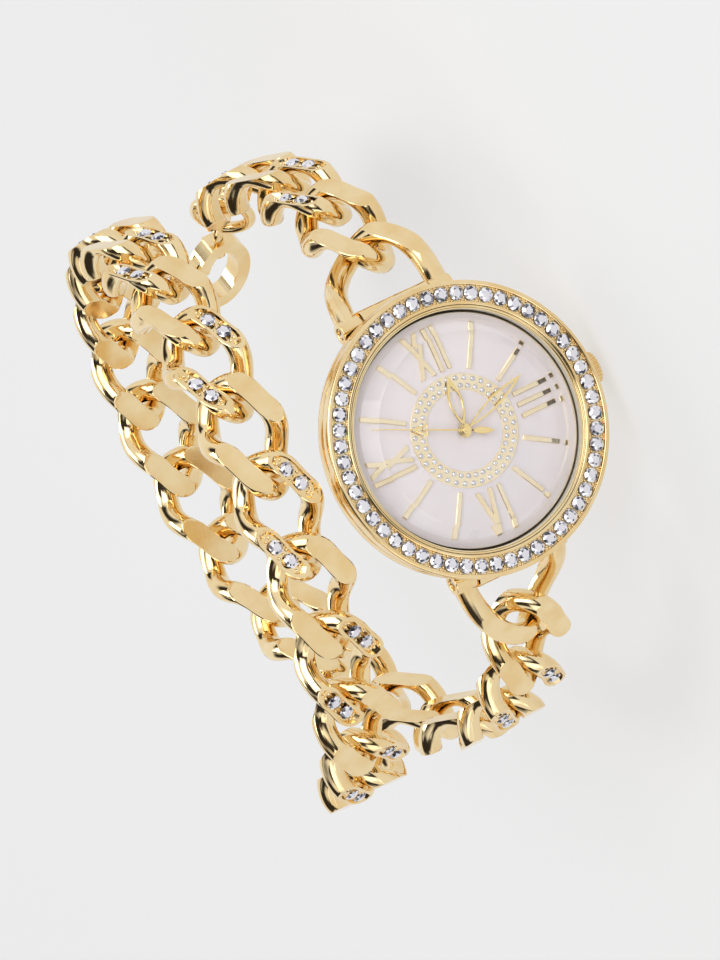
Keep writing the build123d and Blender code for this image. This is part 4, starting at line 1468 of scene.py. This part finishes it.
@dataclass
class Dial:
    """Dial with the ring round it, its markers, beaded band and hands.

    Attributes:
        heights: Heights of the head.
        radius: Radius of the dial.
        hole: Radius of its hole.
        surround_foot: Inner radius of the ring round the dial, at its foot.
        surround_top: Inner radius at its top.
        surround_edge: Its outer radius.
        marker_inner: Radius at which the strokes start.
        marker_outer: Radius at which they end.
        marker_width: Their width.
        marker_spacing: Unit of the numerals' offsets.
        marker_height: Height of the strokes.
        marker_step: Step by which crossing strokes differ in height.
        marker_edge: Size of their bevel.
        numerals: Offsets of the inner and outer end of each stroke at the four numerals.
        band_inner: Inner radius of the band.
        band_outer: Its outer radius.
        band_height: Its height.
        bead_count: Beads in each row.
        bead_inset: Distance from the band's edges to the rows.
        bead_radius: Radius of the beads.
        bead_height: Their height.
        bead_sides: Their points round.
        minute_angle: Turn of the minute hand from twelve in degrees.
        second_angle: Turn of the second hand.
        hand_thickness: Thickness of the hands.
        bevel: Bevel of the second hand's pieces.
        second_rod: Outline of the second hand's rod.
        second_tip: Outline of its tip.
        arrowhead: Outline of its arrowhead.
        arrowhead_opening: Outline of the opening in it.
        hub: Radius of the disc of the minute hand.
        hour_hub: Radius of the disc of the hour hand.
        leaf_overlap: How far a leaf starts inside the disc.
        leaf_wall_near: Length of a leaf's frame near the middle.
        leaf_wall_far: Length of its frame at the tip.
        leaf_walls: Width of both its sides together.
        leaf_power: Power of the sine that gives a leaf's width.
    """

    heights: HeadHeights = field(default_factory=HeadHeights)
    radius: float = 14.7
    hole: float = 0.82
    surround_foot: float = 14.4
    surround_top: float = 14.8
    surround_edge: float = 14.88
    marker_inner: float = 7.9
    marker_outer: float = 12.9
    marker_width: float = 0.62
    marker_spacing: float = 1.35
    marker_height: float = 0.25
    marker_step: float = 0.004
    marker_edge: float = 0.06
    numerals: dict = field(default_factory=lambda: {
        0: ((1.75, 0.45), (0.45, 1.75), (-0.4, -0.4), (-1.2, -1.2)),
        3: ((1.1, 1.1), (0, 0), (-1.1, -1.1)),
        6: ((-1.45, -0.75), (-0.05, -0.75), (0.9, 0.9)),
        9: ((1.1, 1.1), (0.4, -0.9), (-0.9, 0.4)),
    })
    band_inner: float = 5.2
    band_outer: float = 7.3
    band_height: float = 0.12
    bead_count: int = 36
    bead_inset: float = 0.55
    bead_radius: float = 0.36
    bead_height: float = 0.3
    bead_sides: int = 12
    minute_angle: float = 70.9
    second_angle: float = 294.0
    hand_thickness: float = 0.12
    bevel: float = 0.03
    second_rod: tuple = ((-1.0, -0.12), (5.4, -0.1), (5.4, 0.1), (-1.0, 0.12))
    second_tip: tuple = ((7.2, -0.1), (11.9, -0.06), (11.9, 0.06), (7.2, 0.1))
    arrowhead: tuple = ((5.2, -0.85), (7.5, 0.0), (5.2, 0.85))
    arrowhead_opening: tuple = ((5.4, -0.5), (6.8, 0.0), (5.4, 0.5))
    hub: float = 0.74
    hour_hub: float = 0.90
    leaf_overlap: float = 0.3
    leaf_wall_near: float = 0.9
    leaf_wall_far: float = 1.3
    leaf_walls: float = 0.5
    leaf_power: float = 0.9

    def build(self, finishes: Finishes) -> None:
        """Make the pieces.

        Args:
            finishes: Materials of the watch.
        """
        h = self.heights
        turned_piece("dial_disc", rounded([
            (self.hole, h.dial_top), (self.hole, h.dial_floor), (self.radius, h.dial_floor),
            (self.radius, h.dial_top),
        ], 0.03, 2), finishes.dial, "dial_face", replaces=["dial"])
        turned_piece("dial_surround", np.array([
            (self.surround_top, h.surround), (self.surround_foot, h.dial_top),
            (self.surround_edge, h.dial_top), (self.surround_edge, h.surround),
        ]), finishes.lining, "satin_gold", smooth=60)
        self.markers(finishes)
        self.band(finishes)
        self.hands(finishes)

    def markers(self, finishes: Finishes) -> None:
        """Make the strokes of the hours, four of them as plain numerals."""
        strokes = Surface()
        for hour in range(12):
            for index, (inner, outer) in enumerate(self.numerals.get(hour, ((0, 0),))):
                place = dial_place(self.heights.dial_top, 30 * hour)
                half = self.marker_width / 2
                inner, outer = inner * self.marker_spacing, outer * self.marker_spacing
                shape = np.array([
                    (self.marker_inner, inner - half), (self.marker_outer, outer - half),
                    (self.marker_outer, outer + half), (self.marker_inner, inner + half),
                ])
                height = self.marker_height - self.marker_step * index
                prism(strokes, place, shape, height, self.marker_edge)
        finished("dial_strokes", strokes, finishes.bright_gold, "satin_gold", "watch_head", smooth=10,
                 replaces=["dial_markers"])

    def band(self, finishes: Finishes) -> None:
        """Make the ring round the middle with its two rows of beads."""
        low, high = self.heights.dial_top, self.heights.dial_top + self.band_height
        turned_piece("dial_ring", rounded([
            (self.band_inner, high), (self.band_inner, low), (self.band_outer, low),
            (self.band_outer, high),
        ], 0.05, 3), finishes.bright_gold, "satin_gold", replaces=["dial_band"])
        beads = Surface()
        circles = (self.band_inner + self.bead_inset, self.band_outer - self.bead_inset)
        for row, circle in enumerate(circles):
            for index in range(self.bead_count):
                place = dial_place(high, (index + 0.5 * row) * 360 / self.bead_count)
                spot = Place(place.put(np.array([circle, 0, 0])), place.x, place.z)
                dome(beads, spot, self.bead_radius, self.bead_height, self.bead_sides)
        finished("dial_bead_rows", beads, finishes.steel, "satin_gold", "watch_head", smooth=60,
                 replaces=["dial_beads"])

    def leaf(self, start: float, end: float, width: float, count: int = 24) -> Array:
        """Outline of a leaf, anticlockwise: half width = width/2 sin(pi t)^power, t from 0 to 1.

        Args:
            start: Where it starts along the hand.
            end: Where it ends.
            width: Its width.
            count: Points on each side.

        Returns:
            The outline, of shape (2 count, 2).
        """
        t = np.linspace(0, 1, count, endpoint=False)
        half = width / 2 * np.sin(np.pi * t) ** self.leaf_power
        low = np.stack([start + (end - start) * t, -half], 1)
        high = np.stack([end - (end - start) * t, half], 1)
        return np.vstack([low, high])

    def disc(self, surface: Surface, place: Place, radius: float, height: float) -> None:
        """Append a small disc at the middle of a hand."""
        turn = np.linspace(0, 2 * np.pi, 32, endpoint=False)
        prism(surface, place, np.stack([radius * np.cos(turn), radius * np.sin(turn)], 1), height, 0.04)

    def hands(self, finishes: Finishes) -> None:
        """Make the three hands."""
        h = self.heights
        for leaf in (
            LeafHand("hour", "hour_hand_pipe", h.hour_hand, self.minute_angle / 12, 7.2, 1.9,
                     self.hour_hub),
            LeafHand("minute", "minute_hand_arbor", h.minute_hand, self.minute_angle, 10.5, 1.5,
                     self.hub),
        ):
            hand = Surface()
            place = dial_place(leaf.height, leaf.angle)
            start = self.hub - self.leaf_overlap
            outer = self.leaf(start, leaf.length, leaf.width)
            inner = self.leaf(
                start + self.leaf_wall_near, leaf.length - self.leaf_wall_far, leaf.width - self.leaf_walls
            )
            frame_strip(hand, place, outer, inner, self.hand_thickness)
            self.disc(hand, place, leaf.hub, self.hand_thickness)
            finished(f"{leaf.name}_hand_gold", hand, finishes.hand_gold, "satin_gold", leaf.body,
                     smooth=25, replaces=[f"{leaf.name}_hand"])
        hand = Surface()
        place = dial_place(h.second_hand, self.second_angle)
        for outline in (self.second_rod, self.second_tip):
            prism(hand, place, np.array(outline), self.hand_thickness, self.bevel)
        outer, inner = np.array(self.arrowhead), np.array(self.arrowhead_opening)
        frame_strip(hand, place, outer, inner, self.hand_thickness)
        prism(hand, place, self.leaf(-3.8, -0.5, 0.9, 12), self.hand_thickness, 0.05)
        self.disc(hand, place, 0.55, self.hand_thickness + 0.03)
        self.disc(hand, place, 0.26, self.hand_thickness + 0.13)
        finished("second_hand_gold", hand, finishes.hand_gold, "satin_gold", "second_hand_arbor",
                 smooth=25, replaces=["second_hand"])


# scene


@dataclass(frozen=True)
class Lamp:
    """One soft square lamp that faces the middle of the watch.

    Attributes:
        name: Its name.
        spot: Where it stands, in metres.
        size: Side of the lamp in metres.
        power: Its power in watts.
    """

    name: str
    spot: tuple
    size: float
    power: float

    def place(self) -> None:
        """Add the lamp to the scene."""
        data = bpy.data.lights.new(self.name, "AREA")
        data.size = self.size
        data.energy = self.power
        lamp = bpy.data.objects.new(self.name, data)
        bpy.context.scene.collection.objects.link(lamp)
        back = unit(np.array(self.spot, float))
        side = unit(np.cross([0.13, 0.29, 0.95], back))
        rows = np.stack([side, np.cross(back, side), back], axis=1)
        matrix = Matrix([[*row] for row in rows]).to_4x4()
        matrix.translation = self.spot
        lamp.matrix_world = matrix


@dataclass
class Studio:
    """Floor, lamps, world and the camera of the photograph.

    Attributes:
        right: The camera's direction to the right.
        up: Its direction up.
        back: Its direction backwards.
        target: Middle of the stone circle in millimetres.
        target_pixel: Its pixel in the photo.
        picture: Width and height of the photo in pixels.
        distance: Distance from the target to the camera in millimetres.
        pixels_per_millimetre: Scale of the photo.
        background: Colour of the background.
        glow_share: Share of the floor's paleness that is its own.
        floor_side: Half side of the floor in metres.
        floor_gap: Gap between the object and the floor in metres.
        floor_tones: Where each of the floor's two tones stands, and its darker colour.
        floor_grain: Features per metre of the floor's change of tone.
        floor_roughness: Roughness of the floor.
        sensor: Width of the camera's sensor in millimetres.
        noise_scale: Scale of the studio's noise.
        studio_dark: Where its dark parts end, and their colour.
        studio_pale: Where its bright parts start, and their colour.
        strip_colour: Colour of the dark strip straight out of the dial.
        strip_sides: Size of Z at which the strip starts to end, and ends.
        strip_ends: Y at which it starts to end, and ends.
        lamps: The lamps.
    """

    right: tuple = (-0.40766, -0.33975, -0.84757)
    up: tuple = (0.91075, -0.08427, -0.40427)
    back: tuple = (0.06593, -0.93673, 0.34378)
    target: tuple = (0.0, -43.1, 0.0)
    target_pixel: tuple = (468.5, 429.5)
    picture: tuple = (720, 960)
    distance: float = 1400.0
    pixels_per_millimetre: float = 7.92
    background: tuple = (0.885, 0.885, 0.885)
    glow_share: float = 0.6
    floor_side: float = 30.0
    floor_gap: float = 0.0005
    floor_tones: tuple = (0.3, 0.7, (0.84, 0.84, 0.845))
    floor_grain: float = 3.0
    floor_roughness: float = 0.9
    sensor: float = 36.0
    noise_scale: float = 1.3
    studio_dark: tuple = (0.40, (0.03, 0.027, 0.025, 1))
    studio_pale: tuple = (0.52, (0.90, 0.90, 0.90, 1))
    strip_colour: tuple = (0.05, 0.045, 0.04, 1.0)
    strip_sides: tuple = (0.13, 0.18)
    strip_ends: tuple = (-0.80, -0.72)
    lamps: tuple = (
        Lamp("key_lamp", (0.5, -0.9, 0.9), 1.2, 8.0),
        Lamp("fill_lamp", (-0.9, -0.7, 0.3), 1.2, 4.0),
        Lamp("rim_lamp", (0.3, 0.5, 1.1), 0.6, 3.5),
    )

    def camera(self) -> None:
        """Set the camera so that the middle of the stone circle falls on its pixel."""
        focal = self.pixels_per_millimetre * self.distance
        right, up, back = (np.array(v) for v in (self.right, self.up, self.back))
        across = (self.target_pixel[0] - self.picture[0] / 2) / focal * self.distance
        rise = -(self.target_pixel[1] - self.picture[1] / 2) / focal * self.distance
        spot = np.array(self.target) - right * across - up * rise + back * self.distance
        data = bpy.data.cameras.new("photo_camera")
        data.sensor_width = self.sensor
        data.lens = focal * data.sensor_width / self.picture[1]
        camera = bpy.data.objects.new("photo_camera", data)
        bpy.context.scene.collection.objects.link(camera)
        matrix = Matrix([[*row] for row in np.stack([right, up, back], axis=1)]).to_4x4()
        matrix.translation = spot * MILLIMETRE
        camera.matrix_world = matrix
        bpy.context.scene.camera = camera

    def world(self) -> None:
        """Pale world for the camera, and a studio of soft bright and dark parts for the rest."""
        world = bpy.data.worlds.new("studio")
        bpy.context.scene.world = world
        world.use_nodes = True
        tree = world.node_tree
        background = tree.nodes["Background"]
        place = tree.nodes.new("ShaderNodeTexCoord")
        noise = tree.nodes.new("ShaderNodeTexNoise")
        noise.inputs["Scale"].default_value = self.noise_scale
        noise.inputs["Detail"].default_value = 1.0
        ramp = tree.nodes.new("ShaderNodeValToRGB")
        for end, stop in zip(ramp.color_ramp.elements, (self.studio_dark, self.studio_pale)):
            end.position, end.color = stop
        tree.links.new(place.outputs["Generated"], noise.inputs["Vector"])
        tree.links.new(noise.outputs["Fac"], ramp.inputs["Fac"])
        dimmed = tree.nodes.new("ShaderNodeMix")
        dimmed.data_type = "RGBA"
        dimmed.inputs[6].default_value = self.strip_colour
        tree.links.new(self.outside_strip(tree, place.outputs["Generated"]), dimmed.inputs[0])
        tree.links.new(ramp.outputs["Color"], dimmed.inputs[7])
        path = tree.nodes.new("ShaderNodeLightPath")
        mix = tree.nodes.new("ShaderNodeMix")
        mix.data_type = "RGBA"
        tree.links.new(path.outputs["Is Camera Ray"], mix.inputs[0])
        tree.links.new(dimmed.outputs[2], mix.inputs[6])
        mix.inputs[7].default_value = (*self.background, 1.0)
        tree.links.new(mix.outputs[2], background.inputs["Color"])

    def outside_strip(self, tree: bpy.types.NodeTree,
                      way: bpy.types.NodeSocket) -> bpy.types.NodeSocket:
        """Measure how far a direction is outside a dark strip straight out of the dial.

        Args:
            tree: Node tree of the world.
            way: The direction.

        Returns:
            Socket that is 0 where both |Z| and 1 + Y are small and 1 elsewhere.
        """
        parts = tree.nodes.new("ShaderNodeSeparateXYZ")
        tree.links.new(way, parts.inputs["Vector"])
        size = tree.nodes.new("ShaderNodeMath")
        size.operation = "ABSOLUTE"
        tree.links.new(parts.outputs["Z"], size.inputs[0])
        ends = []
        for value, (low, high) in (
            (size.outputs["Value"], self.strip_sides), (parts.outputs["Y"], self.strip_ends),
        ):
            span = tree.nodes.new("ShaderNodeMapRange")
            span.inputs["From Min"].default_value = low
            span.inputs["From Max"].default_value = high
            tree.links.new(value, span.inputs["Value"])
            ends.append(span.outputs["Result"])
        either = tree.nodes.new("ShaderNodeMath")
        either.operation = "MAXIMUM"
        for end, socket in zip(ends, either.inputs):
            tree.links.new(end, socket)
        return either.outputs["Value"]

    def glow(self, graph: Graph) -> None:
        """Let most of the floor's paleness be its own wherever the camera, metal or glass sees it.

        Args:
            graph: Material of the floor.
        """
        path = graph.node("ShaderNodeLightPath")
        seen = path.outputs["Is Camera Ray"]
        for ray in ("Is Glossy Ray", "Is Transmission Ray"):
            either = graph.node("ShaderNodeMath", operation="MAXIMUM")
            graph.link(seen, either.inputs[0])
            graph.link(path.outputs[ray], either.inputs[1])
            seen = either.outputs["Value"]
        light = graph.node("ShaderNodeEmission")
        light.inputs["Color"].default_value = (*self.background, 1.0)
        mix = graph.node("ShaderNodeMixShader")
        graph.link(graph.span(seen, 0.0, self.glow_share), mix.inputs["Fac"])
        graph.link(graph.shader.outputs["BSDF"], mix.inputs[1])
        graph.link(light.outputs["Emission"], mix.inputs[2])
        graph.link(mix.outputs["Shader"], graph.tree.nodes["Material Output"].inputs["Surface"])

    def floor(self, height: float) -> None:
        """Lay a wide pale floor.

        Args:
            height: Its height in metres.
        """
        mesh = bpy.data.meshes.new("floor")
        corners = ((-1, -1), (1, -1), (1, 1), (-1, 1))
        side = self.floor_side
        mesh.from_pydata([(x * side, y * side, height) for x, y in corners], [], [(0, 1, 2, 3)])
        graph = Graph("floor_paper")
        low, high, colour = self.floor_tones
        graph.link(
            graph.ramp(graph.noise(self.floor_grain), [(low, colour), (high, self.background)]),
            graph.shader.inputs["Base Color"],
        )
        graph.shader.inputs["Roughness"].default_value = self.floor_roughness
        self.glow(graph)
        mesh.materials.append(graph.material)
        floor = bpy.data.objects.new("floor", mesh)
        bpy.context.scene.collection.objects.link(floor)
        floor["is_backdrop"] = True

    def build(self, lowest: float) -> None:
        """Set the whole scene.

        Args:
            lowest: Height of the object's lowest point in metres.
        """
        self.camera()
        self.world()
        self.floor(lowest - self.floor_gap)
        for lamp in self.lamps:
            lamp.place()
        bpy.context.scene.view_settings.view_transform = "Standard"


def dress_frame(frame: dict, finishes: Finishes) -> None:
    """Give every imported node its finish.

    Args:
        frame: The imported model.
        finishes: Materials of the watch.
    """
    slots = {part["node"]: part["material_slot"] for part in frame["record"]["subparts"]}
    for name, node in frame["nodes"].items():
        node.data.materials.clear()
        node.data.materials.append(finishes.by_slot[slots[name]])


def main() -> None:
    """Load the frame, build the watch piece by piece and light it."""
    logging.basicConfig(level=logging.INFO, format="%(message)s")
    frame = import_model()
    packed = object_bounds()
    finishes = Finishes()
    dress_frame(frame, finishes)
    Chain().build(finishes)
    EndLinks().build(finishes)
    Bezel().build(finishes)
    Dial().build(finishes)
    Studio().build(packed[0][2])


if __name__ == "__main__":
    main()
